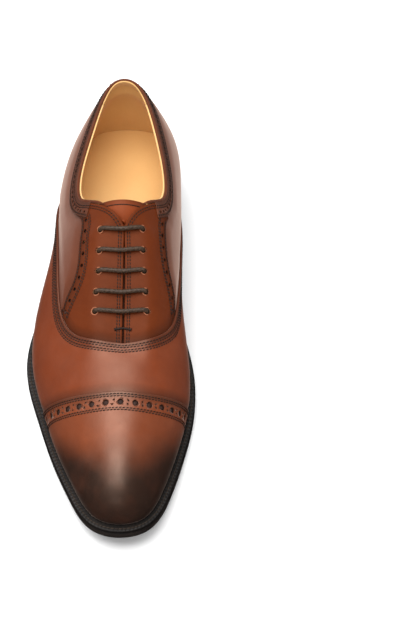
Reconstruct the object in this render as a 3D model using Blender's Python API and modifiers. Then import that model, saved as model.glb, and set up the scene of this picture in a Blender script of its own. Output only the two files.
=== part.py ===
"""Punched cap-toe oxford shoe for the right foot, as an assembly of its cut and stitched pieces.

The shoe stands on z = 0 with its toe towards -Y and its big-toe (medial) side towards +X.
Lengths are in millimetres until a mesh is made. Along the shoe, t runs from the heel's back
(t = 0) to the toe. The outside of the upper is one surface over a shoemaker's last. It is
addressed by a, from 0 at the heel's back to 1 at the toe tip, and by w, from 0 at the lateral
feather edge, over the ridge at 1, to 2 at the medial feather edge. Past 0 and 2 the surface
turns under the foot as the lasting margin. Layers are given by their depth under that surface.
"""

import math

import bmesh
import bpy
import mathutils
import numpy as np

MM = 0.001
MIDDLE_X = -0.06
MIDDLE_T = 153.215
PER_A = 290.0  # millimetres along the shoe for each unit of a
PER_W = 84.0  # millimetres up the wall for each unit of w
WELD = 2e-5
SLIVER = 1e-6

# Last: one row for each station a.
STATIONS = [0, 0.07, 0.16, 0.27, 0.38, 0.50, 0.61, 0.72, 0.82, 0.90, 0.955, 1.0]
FEATHER_T = [4, 9.5, 34, 74, 112, 150, 182, 215, 247, 274, 294, 299.2]
LATERAL_HALF = [0, 20.5, 32.5, 38.5, 42, 51.3, 55, 48, 38, 27, 15.1, 0]
MEDIAL_HALF = [0, 21.5, 31.5, 32, 31, 32, 38, 39, 32.4, 24.6, 14.4, 0]
RIDGE_T = [22, 23.5, 40, 80, 112, 146, 176, 206, 234, 256, 268, 273]
FEATHER_HANDLE = [32, 18, 24, 29, 30, 28, 25, 23, 20, 17, 16, 16]
LATERAL_FLARE = [14, 11, 19, 25, 25, 25, 17, 13, 13, 12, 10, 8]
MEDIAL_FLARE = [14, 14, 24, 28.5, 29.5, 26, 18, 14, 13, 12, 10, 8]
RIDGE_HANDLE = [20, 25, 25, 30, 28, 30, 30, 28, 24, 18, 16, 15]
RIDGE_TILT = [65, 52, 51, 45, 26, 6, 0, 0, 0, 0, 0, 0]
AXIS_X = 8.0
RIDGE_X = ([0, 60, 120, 180, 230, 275], [8, 9, 10, 9.6, 8.5, 8])
RIDGE_Z = (
    [0, 60, 100, 120, 140, 160, 180, 200, 225, 250, 275, 300],
    [106, 107, 105, 99, 89.5, 79.8, 70.5, 62.5, 55, 50.2, 46, 40],
)
SOLE_RISE = ([0, 40, 75, 115, 150, 180, 225, 265, 305], [26, 25, 23, 13.5, 4, 0, 0, 4.4, 11.5])

# Heights above the outsole's underside, and thicknesses.
GAP = 0.3
OUTSOLE = 5.0
WELT_LOW = OUTSOLE + GAP
WELT_THICK = 2.8
FEATHER_HEIGHT = 8.6
INSOLE_LOW = 11.5
INSOLE_THICK = 3.0
SOCK_THICK = 1.0
MARGIN = 8.0
LINING_MARGIN = 0.58
WELT_INSET = 9.4
RIB_INSET = 10.8
RIB_THICK = 1.5
INSOLE_INSET = 7.6
TOE_INSET = 3.0
WELT_EDGE = (
    [0, 0.1, 0.3, 0.42, 0.55, 0.7, 0.82, 0.92, 1],
    [1.5, 1.5, 1.5, 2.4, 5.0, 4.2, 4.1, 4.5, 5.1],
)

# Layers of the upper, as depths under its outside.
LEATHER = 1.2
LAP_DEPTH = 1.7
LAP_WIDTH = 7.0
SKIVE_REACH = 9.0
STIFFENER_DEPTH = 3.1
STIFFENER = 0.7
LINING_DEPTH = 4.4
LINING_EDGE_DEPTH = 1.55
LINING = 0.8
LINING_BUTT = 0.7
TONGUE_DEPTH = 6.9
TONGUE_TOP_DEPTH = 4.0
TONGUE = 1.5
BUTT = 0.7
MARGIN_UNDER = 1.6

# Seams, as (a, v) points with v from the feather edge (0) to the ridge (1).
WING = 0.235
CAP_FOOT = 0.722
CAP_TOP = 0.804
THROAT = 0.699
SLIT = 0.985
SLIT_TOP = 0.459
TOPLINE = [
    (0, 0.739), (0.03, 0.747), (0.07, 0.742), (0.12, 0.68), (0.16, 0.635), (0.22, 0.588), (0.27, 0.56),
    (0.31, 0.56), (0.34, 0.585), (0.36, 0.63), (0.38, 0.72), (0.403, 0.83), (0.429, 0.925),
    (SLIT_TOP, SLIT),
]
COLLAR_LOW = [
    (0, 0.672), (0.07, 0.672), (0.12, 0.612), (0.16, 0.568), (0.22, 0.522), (0.27, 0.494), (0.31, 0.492),
    (0.345, 0.516), (0.37, 0.568), (0.388, 0.62),
]
FACING_EDGE = {
    -1: [(0.388, 0.62), (0.405, 0.665), (0.44, 0.682), (0.475, 0.689), (0.505, 0.688), (0.53, 0.668),
         (0.55, 0.63), (0.567, 0.592), (0.583, 0.556)],
    1: [(0.388, 0.585), (0.40, 0.61), (0.43, 0.63), (0.46, 0.63), (0.495, 0.606), (0.525, 0.56),
        (0.55, 0.53), (0.575, 0.511)],
}
VAMP_SEAM = {
    -1: [(WING, 0), (0.30, 0.20), (0.37, 0.34), (0.45, 0.465), (0.52, 0.525), (0.583, 0.556),
         (0.615, 0.587), (0.645, 0.65), (0.669, 0.75), (0.686, 0.865), (THROAT, 1)],
    1: [(WING, 0), (0.31, 0.15), (0.39, 0.27), (0.46, 0.355), (0.53, 0.455), (0.575, 0.511),
        (0.62, 0.588), (0.651, 0.69), (0.681, 0.838), (THROAT, 1)],
}
LINING_SEAM = [(0.36, 0), (0.50, 0.32), (0.60, 0.49), (0.655, 0.63), (0.69, 0.80), (0.706, 1)]
CAP_LINE = [(CAP_FOOT, 0), (0.736, 0.21), (0.757, 0.46), (0.782, 0.73), (CAP_TOP, 1)]
COLLAR_END = 0.392
TONGUE_HALF = ([0.40, 0.45, 0.55, 0.64, 0.70], [0.29, 0.29, 0.25, 0.21, 0.17])
TONGUE_TOP = 0.398
TONGUE_ARCH = 0.02
TONGUE_ROOT = 0.692
LACE_ROWS = [  # a, lateral v, medial v, from the top row down to the throat
    (0.453, 0.833, 0.858), (0.495, 0.834, 0.860), (0.537, 0.834, 0.854), (0.579, 0.820, 0.842),
    (0.6185, 0.812, 0.829),
]

# Heel, lace and small parts.
BREAST_A = 0.272
TOP_PIECE = 6.0
LIFT = 4.7
HEEL_TAPER = 1.4
BACKSTAY = 0.034
HEEL_LINING_A = 0.13
SHANK_HALF = 8.0
LACE_R = 1.25
LACE_LIFT = 1.65
STRAIGHT = 0.078  # How far a moves, per unit of w, along a line that runs square across the shoe.
LACE_UNDER = 5.2
EYELET_HOLE_R = 2.45
EYELET_PROFILE = [(1.6, -0.3), (2.1, -0.3), (2.1, -3.3), (2.9, -3.3), (2.9, -3.6), (1.6, -3.6)]
BEAD_R = 0.8
AGLET = 17.0
TAILS = (  # name of the aglet, side, row of the hole, end a, millimetres aside from the hole
    ("aglet_lateral", -1, 1, 0.565, 5.0),
    ("aglet_medial", 1, 0, 0.56, 6.5),
)

TOE_ROWS = np.linspace(0, 1, 9)
QUARTER_ACROSS = np.concatenate([np.linspace(0, 0.3, 6), np.linspace(0.3, 0.97, 12)[1:]])
SIDES = (-1, 1)
NAMES = {-1: "lateral", 1: "medial"}
CUTTERS = "cutters"
SHOE = "leather_oxford_shoe"


def spline(xs, ys):
    """Natural cubic spline through the points, as a function."""
    xs = np.asarray(xs, float)
    ys = np.asarray(ys, float)
    n = len(xs)
    h = np.diff(xs)
    rows = np.eye(n)
    right = np.zeros(n)
    for i in range(1, n - 1):
        rows[i, i - 1 : i + 2] = h[i - 1], 2 * (h[i - 1] + h[i]), h[i]
        right[i] = 6 * ((ys[i + 1] - ys[i]) / h[i] - (ys[i] - ys[i - 1]) / h[i - 1])
    bend = np.linalg.solve(rows, right)

    def value(x):
        x = np.asarray(x, float)
        i = np.clip(np.searchsorted(xs, x) - 1, 0, n - 2)
        d = h[i]
        p = (xs[i + 1] - x) / d
        q = (x - xs[i]) / d
        curved = (p**3 - p) * bend[i] + (q**3 - q) * bend[i + 1]
        return p * ys[i] + q * ys[i + 1] + curved * d * d / 6

    return value


def station_spline(values, sign):
    """Spline over the stations, mirrored past both ends so that the two sides meet smoothly."""
    xs = [-x for x in STATIONS[2:0:-1]] + STATIONS + [2 - x for x in STATIONS[-2:-4:-1]]
    ys = [sign * y for y in values[2:0:-1]] + values + [sign * y for y in values[-2:-4:-1]]
    return spline(xs, ys)


feather_t = station_spline(FEATHER_T, 1)
half_width = {-1: station_spline(LATERAL_HALF, -1), 1: station_spline(MEDIAL_HALF, -1)}
flare = {-1: station_spline(LATERAL_FLARE, 1), 1: station_spline(MEDIAL_FLARE, 1)}
feather_handle = station_spline(FEATHER_HANDLE, 1)
ridge_handle = station_spline(RIDGE_HANDLE, 1)
ridge_tilt = station_spline(RIDGE_TILT, 1)
ridge_t = station_spline(RIDGE_T, 1)
ridge_x = spline(*RIDGE_X)
ridge_z = spline(*RIDGE_Z)
sole_spline = spline(*SOLE_RISE)
welt_edge = spline(*WELT_EDGE)
topline = spline(*zip(*TOPLINE))


def sole_rise(t):
    """Height of the outsole's underside over the floor: flat under the ball of the foot."""
    return np.maximum(sole_spline(t), 0)


def by_side(pair, a, side):
    return np.where(side < 0, pair[-1](a), pair[1](a))


def feather(a, side):
    """Point of the feather edge, where the upper turns under the foot."""
    t = feather_t(a)
    x = AXIS_X + side * by_side(half_width, a, side)
    return np.stack([x, t, sole_rise(t) + FEATHER_HEIGHT], -1)


def ridge(a):
    t = ridge_t(a)
    return np.stack([ridge_x(t), t, ridge_z(t)], -1)


def outward(a, side):
    """Horizontal unit vector from the ridge to the feather edge."""
    d = feather(a, side) - ridge(a)
    d[..., 2] = 0
    return d / np.linalg.norm(d, axis=-1, keepdims=True)


def wall(a, w):
    """Point of the upper's outside at a and w, with w from 0 to 2."""
    a, w = np.broadcast_arrays(np.asarray(a, float), np.asarray(w, float))
    side = np.where(w <= 1, -1, 1)
    v = np.where(w <= 1, w, 2 - w)[..., None]
    foot = feather(a, side)
    top = ridge(a)
    out = outward(a, side)
    up = np.array([0, 0, 1.0])
    lean = np.radians(by_side(flare, a, side))[..., None]
    tilt = np.radians(np.clip(ridge_tilt(a), 0, 85))[..., None]
    low = foot + feather_handle(a)[..., None] * (out * np.sin(lean) + up * np.cos(lean))
    high = top + ridge_handle(a)[..., None] * (out * np.cos(tilt) - up * np.sin(tilt))
    slope = ridge_z(top[..., 1] + 0.5) - ridge_z(top[..., 1] - 0.5)
    high[..., 2] += (high[..., 1] - top[..., 1]) * slope * np.cos(tilt[..., 0])
    return (1 - v) ** 3 * foot + 3 * (1 - v) ** 2 * v * low + 3 * (1 - v) * v**2 * high + v**3 * top


def wall_normal(a, w):
    """Outward unit normal of the upper's outside."""
    h = 1e-3
    w = np.clip(w, h, 2 - h)
    a = np.where(abs(w - 1) < 0.06, np.minimum(a, 0.96), a)

    def square(w):
        n = np.cross(wall(a, w + h) - wall(a, w - h), wall(a + h, w) - wall(a - h, w))
        return n / np.linalg.norm(n, axis=-1, keepdims=True)

    n = square(w)
    # The two sides share one normal along the back seam and along the toe's centre.
    n = np.where((np.abs(a - 0.5) > 0.4999)[..., None], n + square(2 - w), n)
    return n / np.linalg.norm(n, axis=-1, keepdims=True)


def layer(a, w, depth, margin_depth=None):
    """Point at a depth under the outside. Past the feather edge it lies on the lasting margin."""
    a, w, depth = np.broadcast_arrays(*(np.asarray(x, float) for x in (a, w, depth)))
    under = depth if margin_depth is None else margin_depth
    on_wall = np.clip(w, 0, 2)
    past = np.maximum(-w, w - 2)
    n = wall_normal(a, on_wall)
    point = wall(a, on_wall)
    # At the feather edge both the wall's and the margin's depth hold.
    c = -n[..., 2]
    k = np.maximum(1 - c * c, 0.05)
    along_n = (-depth + c * under) / k
    along_up = -(-under + c * depth) / k
    corner = point + along_n[..., None] * n
    corner[..., 2] += along_up
    inner = point - depth[..., None] * n
    near = np.clip(1 - np.minimum(on_wall, 2 - on_wall) / 0.02, 0, 1)[..., None]
    point = inner + near * (corner - inner)
    side = np.where(w <= 1, -1, 1)
    inwards = np.maximum(past, 0)[..., None] * MARGIN
    moved = point - inwards * outward(a, side)
    moved[..., 2] += sole_rise(moved[..., 1]) - sole_rise(point[..., 1])
    return np.where(past[..., None] > 0, moved, point)


def to_world(points):
    p = np.asarray(points, float)
    return np.stack([p[..., 0] - MIDDLE_X, MIDDLE_T - p[..., 1], p[..., 2]], -1) * MM


def metric(a, w):
    """Millimetres per unit of a and of w."""
    h = 1e-3
    w = np.clip(w, h, 2 - h)
    per_a = np.linalg.norm(wall(a + h, w) - wall(a - h, w), axis=-1) / (2 * h)
    per_w = np.linalg.norm(wall(a, w + h) - wall(a, w - h), axis=-1) / (2 * h)
    return per_a, per_w


def curve_through(points, side=-1):
    """Smooth curve through (a, v) points on one side, as a function of 0..1 giving (a, w)."""
    p = np.array(points, float)
    span = np.linalg.norm(np.diff(p * [3.0, 1.0], axis=0), axis=1)
    s = np.concatenate([[0], np.cumsum(span)]) / span.sum()
    fa = spline(s, p[:, 0])
    fv = spline(s, p[:, 1])

    def at(x):
        v = fv(x)
        return np.stack([fa(x), v if side < 0 else 2 - v], -1)

    return at


def line_between(p, q):
    p = np.array(p, float)
    q = np.array(q, float)
    return lambda x: p + np.asarray(x, float)[..., None] * (q - p)


def part_of(curve, start, end):
    return lambda x: curve(start + np.asarray(x, float) * (end - start))


def beside(points, distance, side):
    """The (a, w) points of a line that runs towards the toe, moved towards the ridge by millimetres."""
    per_a, per_w = metric(points[:, 0], points[:, 1])
    run = np.gradient(points, axis=0) * np.stack([per_a, per_w], -1)
    run /= np.linalg.norm(run, axis=1)[:, None]
    square = np.stack([-run[:, 1] / per_a, run[:, 0] / per_w], -1)
    return points - side * np.reshape(distance, (-1, 1)) * square


def shifted(curve, distance, side):
    x = np.linspace(0, 1, 81)
    p = beside(curve(x), distance, side)
    return lambda y: np.stack([np.interp(y, x, p[:, 0]), np.interp(y, x, p[:, 1])], -1)


def pinned(curve, first, last):
    """The curve with its ends moved to two given points."""
    shift = np.array(first) - curve(0.0), np.array(last) - curve(1.0)
    return lambda x: (curve(x) + shift[0] * (1 - np.asarray(x, float)[..., None]) ** 8
                      + shift[1] * np.asarray(x, float)[..., None] ** 8)


def joined(first, second, split):
    """One curve of 0..1 that is the first up to the split and the second after it."""

    def at(x):
        x = np.asarray(x, float)[..., None]
        one = first(np.clip(x[..., 0] / split, 0, 1))
        two = second(np.clip((x[..., 0] - split) / (1 - split), 0, 1))
        return np.where(x <= split, one, two)

    return at


def coons(left, right, low, high, across, upwards):
    """Grid of (a, w) inside four curves: low and high run across, left and right run upwards."""
    s = np.asarray(across, float)[:, None, None]
    u = np.asarray(upwards, float)[None, :, None]
    rows = (1 - u) * low(s[:, 0, 0])[:, None] + u * high(s[:, 0, 0])[:, None]
    columns = (1 - s) * left(u[0, :, 0])[None] + s * right(u[0, :, 0])[None]
    corners = [curve(np.array([end]))[:, None] for curve in (low, high) for end in (0.0, 1.0)]
    low_ends = (1 - s) * corners[0] + s * corners[1]
    high_ends = (1 - s) * corners[2] + s * corners[3]
    return rows + columns - (1 - u) * low_ends - u * high_ends


def smooth(x):
    x = np.clip(x, 0, 1)
    return x * x * (3 - 2 * x)


def near_line(grid, line, reach):
    """1 on the line of (a, w) points, falling to 0 at the reach in millimetres."""
    p = wall(grid[..., 0], np.clip(grid[..., 1], 0, 2))
    q = wall(line[:, 0], np.clip(line[:, 1], 0, 2))
    d = np.linalg.norm(p[..., None, :] - q, axis=-1).min(axis=-1)
    return smooth(1 - d / reach)


# Materials and objects.
def linear(*rgb):
    return [((c / 255 + 0.055) / 1.055) ** 2.4 for c in rgb] + [1]


def new_material(name, rgb, roughness, metallic=0.0):
    material = bpy.data.materials.new(name)
    material.use_nodes = True
    shader = material.node_tree.nodes["Principled BSDF"]
    shader.inputs["Base Color"].default_value = linear(*rgb)
    shader.inputs["Roughness"].default_value = roughness
    shader.inputs["Metallic"].default_value = metallic
    return material


def link(name, data, material, collection=SHOE):
    obj = bpy.data.objects.new(name, data)
    bpy.data.collections[collection].objects.link(obj)
    if material:
        data.materials.append(material)
    if obj.type == "MESH":
        data.shade_smooth()
        data.set_sharp_from_angle(angle=math.radians(40))
    return obj


def add_grid(bm, points):
    """Faces over a grid of world points, facing up where rows run along -Y and columns along -X."""
    verts = [[bm.verts.new(p) for p in row] for row in points]
    faces = []
    for row, after in zip(verts, verts[1:]):
        for p, q, r, s in zip(row, after, after[1:], row[1:]):
            faces.append(bm.faces.new((p, q, r, s)))
    return faces


def to_mesh(name, bm):
    mesh = bpy.data.meshes.new(name)
    bm.to_mesh(mesh)
    bm.free()
    return mesh


def leather(name, patches, thickness, material):
    """A sheet piece of the upper, from (grid of (a, w), depth, margin depth) patches."""
    bm = bmesh.new()
    for grid, depth, under in patches:
        add_grid(bm, to_world(layer(grid[..., 0], grid[..., 1], depth, under)))
    bmesh.ops.remove_doubles(bm, verts=bm.verts, dist=WELD)
    bmesh.ops.dissolve_degenerate(bm, edges=bm.edges, dist=SLIVER)
    obj = link(name, to_mesh(name, bm), material)
    solid = obj.modifiers.new("thickness", "SOLIDIFY")
    solid.thickness = thickness * MM
    solid.offset = -1
    solid.use_even_offset = True
    return obj


def block(name, plan, low, high, material):
    """A solid over a grid of (x, t) points, between two heights that depend on t."""
    bm = bmesh.new()
    top = np.concatenate([plan, high(plan[..., 1])[..., None]], -1)
    add_grid(bm, to_world(top))
    bmesh.ops.remove_doubles(bm, verts=bm.verts, dist=WELD)
    bmesh.ops.dissolve_degenerate(bm, edges=bm.edges, dist=SLIVER)
    made = bmesh.ops.extrude_face_region(bm, geom=bm.faces[:], use_keep_orig=True)
    for v in made["geom"]:
        if isinstance(v, bmesh.types.BMVert):
            v.co.z = float(low(MIDDLE_T - v.co.y / MM)) * MM
    bmesh.ops.recalc_face_normals(bm, faces=bm.faces)
    return link(name, to_mesh(name, bm), material)


def tube(name, points, radius, material, sides=2):
    """A round cord through points (x, t, z)."""
    curve = bpy.data.curves.new(name, "CURVE")
    curve.dimensions = "3D"
    curve.bevel_depth = radius * MM
    curve.bevel_resolution = sides
    curve.use_fill_caps = True
    spline_points = curve.splines.new("POLY").points
    spline_points.add(len(points) - 1)
    for item, p in zip(spline_points, to_world(points)):
        item.co = (*p, 1)
    return link(name, curve, material)


# Grids over the upper.
def fan(start, end, count):
    """Values from start to end, closer together towards an end of the shoe."""
    x = np.linspace(0, 1, count)
    if end >= 1:
        x = np.sin(x * math.pi / 2)
    if start <= 0:
        x = 1 - np.cos(x * math.pi / 2)
    return start + x * (end - start)


def at(a, v, side):
    return (a, v if side < 0 else 2 - v)


def turned(grid, side):
    """A grid whose columns run towards the ridge, in the order that makes it face outwards."""
    return grid if side < 0 else grid[:, ::-1]


def margin_patch(a_values, side, depth=0, under=None, reach=1.0):
    """The lasting margin along a stretch of the feather edge."""
    v = np.array([-reach, -reach / 2, 0])
    a, v = np.meshgrid(a_values, v, indexing="ij")
    return turned(np.stack([a, v if side < 0 else 2 - v], -1), side), depth, under


def topline_at(side, start, end):
    def curve(x):
        a = start + np.asarray(x, float) * (end - start)
        v = topline(a)
        return np.stack([a, v if side < 0 else 2 - v], -1)

    return curve


def seam_of(side, start=0.0, end=1.0):
    """The vamp's rear edge, from the wing's end at the feather edge (0) to the throat (1)."""
    return part_of(curve_through(VAMP_SEAM[side], side), start, end)


def share_of(points, corner):
    """How far along its curve one of the points lies."""
    p = np.array(points, float)
    span = np.linalg.norm(np.diff(p * [3.0, 1.0], axis=0), axis=1)
    return span[: points.index(corner)].sum() / span.sum()


def top_seam(side):
    """The quarter's upper edge, along the collar band and then along the facing, to its front tip."""
    return curve_through(top_seam_points(side), side)


def top_seam_points(side):
    return [(BACKSTAY, 0.679)] + COLLAR_LOW[1:-1] + FACING_EDGE[side]


def tip_share(side):
    return share_of(VAMP_SEAM[side], FACING_EDGE[side][-1])


# The upper's outside pieces.
def toe_cap(material):
    """The cap covers the toe from feather edge to feather edge, in front of the cap line."""
    patches = []
    across = fan(0, 1, 10)
    for side in SIDES:
        foot = at(CAP_FOOT, 0, side)
        tip = at(1, 0, side)
        rear = curve_through(CAP_LINE, side)
        middle = line_between((CAP_TOP, 1), (1, 1))
        grid = coons(rear, line_between(tip, (1, 1)), line_between(foot, tip), middle, across, TOE_ROWS)
        patches.append((turned(grid, side), 0, None))
        patches.append(margin_patch(CAP_FOOT + across * (1 - CAP_FOOT), side))
    return leather("toe_cap", patches, LEATHER, material)


def vamp(material):
    """The vamp runs from under the cap to the throat, with a wing along each side to the waist."""
    patches = []
    butt = BUTT / PER_A
    across = np.array([0, 0.06, 0.12, 0.19, 0.27, 0.36, 0.46, 0.57, 0.69, 0.81, 0.92, 1])
    along = np.array([0, 0.07, 0.14, 0.24, 0.36, 0.48, 0.58, 0.66, 0.72, 0.78, 0.84, 0.9, 0.95, 1])
    sink = smooth(along / 0.14)
    gate = smooth((along - 0.14) / 0.14)
    for side in SIDES:
        front = curve_through([(a - butt, v) for a, v in CAP_LINE], side)
        seam = shifted(seam_of(side), -BUTT / 2, side)
        seam = pinned(seam, at(WING + 4 * butt, 0, side), (THROAT + butt / 2, 1))
        start = tuple(seam(0.0))
        end = tuple(front(0.0))
        middle = line_between(tuple(seam(1.0)), tuple(front(1.0)))
        grid = coons(seam, front, line_between(start, end), middle, across, along)
        edge = grid[-1]
        drop = LAP_DEPTH * near_line(grid, edge, SKIVE_REACH) * sink
        patches.append((turned(grid, side), turned(drop, side), None))
        strip = np.stack([edge, edge + np.stack([gate * LAP_WIDTH / PER_A, 0 * gate], -1)])
        patches.append((turned(strip, side), turned(np.stack([drop[-1]] * 2), side), None))
        patches.append(margin_patch(start[0] + across * (end[0] - start[0]), side))
    return leather("vamp", patches, LEATHER, material)


def quarter(side, material):
    """One quarter: the side of the shoe between the back seam, the vamp's wing and the collar."""
    split = QUARTER_ACROSS[5]
    tip = tip_share(side)
    seam = shifted(seam_of(side, 0, tip), BUTT / 2, side)
    seam = pinned(seam, at(WING, 0, side), tuple(seam(1.0)))
    low = joined(line_between(at(BACKSTAY, 0, side), at(WING, 0, side)), seam, split)
    high = shifted(top_seam(side), -BUTT / 2, side)
    across = np.sort(np.append(QUARTER_ACROSS, share_of(top_seam_points(side), FACING_EDGE[side][0])))
    rows = np.linspace(0, 1, 8)[None, :, None]
    grid = (1 - rows) * low(across)[:, None] + rows * high(across)[:, None]
    edge = grid[5:, 0]
    height = edge[:, 1] if side < 0 else 2 - edge[:, 1]
    sink = smooth(height / 0.14)
    gate = smooth((height - 0.14) / 0.12)
    drop = np.zeros(grid.shape[:2])
    drop[5:] = LAP_DEPTH * near_line(grid[5:], edge, SKIVE_REACH) * sink[:, None]
    strip = np.stack([beside(edge, -LAP_WIDTH * gate, side), edge], axis=1)
    strip[0, 0] = edge[0]
    patches = [
        (turned(grid, side), turned(drop, side), None),
        (turned(strip, side), turned(np.stack([drop[5:, 0]] * 2, axis=1), side), None),
        margin_patch(grid[:6, 0, 0], side),
    ]
    return leather("quarter_" + NAMES[side], patches, LEATHER, material)


def facing(side, material):
    """One lace facing, over the front of the quarter, from the topline to under the vamp."""
    corner = 0.14
    share = share_of(top_seam_points(side), FACING_EDGE[side][0])
    edge = part_of(shifted(top_seam(side), BUTT / 2, side), share, 1)
    end = COLLAR_END + BUTT / PER_A
    start = at(end, topline(end), side)
    outer = joined(line_between(start, tuple(edge(0.0))), edge, corner)
    slit = line_between(at(SLIT_TOP, SLIT, side), at(THROAT, SLIT, side))
    top = topline_at(side, end, SLIT_TOP)
    tip = tip_share(side)
    seam = seam_of(side, tip + 0.006, 0.991)
    shared = (QUARTER_ACROSS[QUARTER_ACROSS > share + 0.01] - share) / (1 - share)
    across = np.concatenate([[0, corner / 2, corner], corner + (1 - corner) * shared, [1]])
    along = np.linspace(0, 1, 9)
    grid = coons(top, seam, outer, slit, across, along)
    edge = grid[-1]
    drop = LAP_DEPTH * near_line(grid, edge, SKIVE_REACH)
    strip = np.stack([edge, beside(edge, -LAP_WIDTH, side)])
    strip[1, 0] = beside(edge, -LAP_WIDTH, side)[0] + [0.004, 0]
    patches = [(turned(grid, side), turned(drop, side), None),
               (turned(strip, side), turned(np.stack([drop[-1]] * 2), side), None)]
    return leather("facing_" + NAMES[side], patches, LEATHER, material)


def collar_band(side, material):
    """The punched band along the topline, from the backstay to the facing."""
    share = share_of(top_seam_points(side), FACING_EDGE[side][0]) - 0.012
    x = QUARTER_ACROSS[QUARTER_ACROSS < share] / share
    x = np.sort(np.append(x, [0.92, 1]))
    low = part_of(shifted(top_seam(side), BUTT / 2, side), 0, share)(x)
    high = topline_at(side, BACKSTAY, COLLAR_END)(x)
    rows = np.linspace(0, 1, 3)[None, :, None]
    grid = (1 - rows) * low[:, None] + rows * high[:, None]
    return leather("collar_band_" + NAMES[side], [(turned(grid, side), 0, None)], LEATHER, material)


def backstay(material):
    """The strip that covers the back seam from the topline to the feather edge."""
    patches = []
    a = np.linspace(0, BACKSTAY - 2 * BUTT / PER_A, 4)
    for side in SIDES:
        high = topline_at(side, 0, a[-1])(np.linspace(0, 1, 4))
        low = np.stack([a, np.full(4, at(0, 0, side)[1])], -1)
        rows = np.linspace(0, 1, 8)[None, :, None]
        grid = (1 - rows) * low[:, None] + rows * high[:, None]
        patches.append((turned(grid, side), 0, None))
        patches.append(margin_patch(a, side))
    return leather("backstay", patches, LEATHER, material)


# Stiffeners, linings and the tongue.
def toe_puff(material):
    patches = []
    for side in SIDES:
        a, v = np.meshgrid(fan(0.835, 1, 8), np.linspace(0.12, 1, 8), indexing="ij")
        patches.append((turned(np.stack([a, v if side < 0 else 2 - v], -1), side), STIFFENER_DEPTH, None))
    return leather("toe_puff", patches, STIFFENER, material)


def heel_stiffener(material):
    patches = []
    for side in SIDES:
        a = fan(0, 0.235, 9)[:, None]
        top = np.interp(a, [0, 0.15, 0.235], [0.52, 0.44, 0.28])
        v = 0.12 + np.linspace(0, 1, 6) * (top - 0.12)
        grid = np.stack(np.broadcast_arrays(a, v if side < 0 else 2 - v), -1)
        patches.append((turned(grid, side), STIFFENER_DEPTH, None))
    return leather("heel_stiffener", patches, STIFFENER, material)


def lining_depth(grid, side):
    """The lining lies close under the outside along the topline and the facing, and deeper below."""
    x = np.linspace(0, 1, 60)
    slit = line_between(at(SLIT_TOP, SLIT, side), at(THROAT, SLIT, side))
    rim = np.concatenate([topline_at(side, 0, SLIT_TOP)(x), slit(x)])
    p = wall(grid[..., 0], np.clip(grid[..., 1], 0, 2))
    q = wall(rim[:, 0], rim[:, 1])
    d = np.linalg.norm(p[..., None, :] - q, axis=-1).min(axis=-1)
    start = np.interp(grid[..., 0], [0.25, 0.40], [5, 24])
    depth = LINING_EDGE_DEPTH + (LINING_DEPTH - LINING_EDGE_DEPTH) * smooth((d - start) / 9)
    under_vamp = LINING_EDGE_DEPTH + 2.5 * near_line(grid, seam_of(side)(x), 13)
    return np.maximum(depth, under_vamp)


def lining_heel(material):
    """The lining of the heel, from one quarter lining to the other."""
    patches = []
    a = fan(0, HEEL_LINING_A, 7)
    rows = np.linspace(0, 1, 9)[None, :, None]
    for side in SIDES:
        high = np.stack([a, topline(a) if side < 0 else 2 - topline(a)], -1)
        low = np.stack([a, np.full(len(a), at(0, 0, side)[1])], -1)
        grid = (1 - rows) * low[:, None] + rows * high[:, None]
        patches.append((turned(grid, side), turned(lining_depth(grid, side), side), MARGIN_UNDER))
        patches.append(margin_patch(a, side, LINING_DEPTH, MARGIN_UNDER, LINING_MARGIN))
    return leather("lining_heel", patches, LINING, material)


def lining_quarter(side, material):
    """The lining of one quarter and facing."""
    start = HEEL_LINING_A + BUTT / PER_A
    split = 0.62
    slit = line_between(at(SLIT_TOP, SLIT, side), at(THROAT, SLIT, side))
    high = joined(topline_at(side, start, SLIT_TOP), slit, split)
    across = np.concatenate([np.linspace(0, split, 10), np.linspace(split, 1, 7)[1:]])
    low = line_between(at(start, 0, side), at(0.36, 0, side))
    left = line_between(at(start, 0, side), tuple(high(0.0)))
    right = curve_through(LINING_SEAM[:-1] + [(THROAT, SLIT)], side)
    grid = coons(left, right, low, high, across, np.linspace(0, 1, 9))
    patches = [(turned(grid, side), turned(lining_depth(grid, side), side), MARGIN_UNDER),
               margin_patch(low(across)[:, 0], side, LINING_DEPTH, MARGIN_UNDER, LINING_MARGIN)]
    return leather("lining_quarter_" + NAMES[side], patches, LINING, material)


def lining_vamp(material):
    """The lining of the forepart, from the throat over the toe."""
    patches = []
    across = fan(0, 1, 17)
    rear = 0.36 + 1.5 * LINING_BUTT / PER_A
    for side in SIDES:
        low = line_between(at(rear, 0, side), at(1, 0, side))
        seam = shifted(curve_through(LINING_SEAM, side), -LINING_BUTT, side)
        seam = pinned(seam, at(rear, 0, side), (LINING_SEAM[-1][0], 1))
        grid = coons(seam, line_between(at(1, 0, side), (1, 1)), low,
                     line_between(tuple(seam(1.0)), (1, 1)), across, np.linspace(0, 1, 7))
        patches.append((turned(grid, side), LINING_DEPTH, MARGIN_UNDER))
        patches.append(margin_patch(low(across)[:, 0], side, LINING_DEPTH, MARGIN_UNDER, LINING_MARGIN))
    return leather("lining_vamp", patches, LINING, material)


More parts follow.
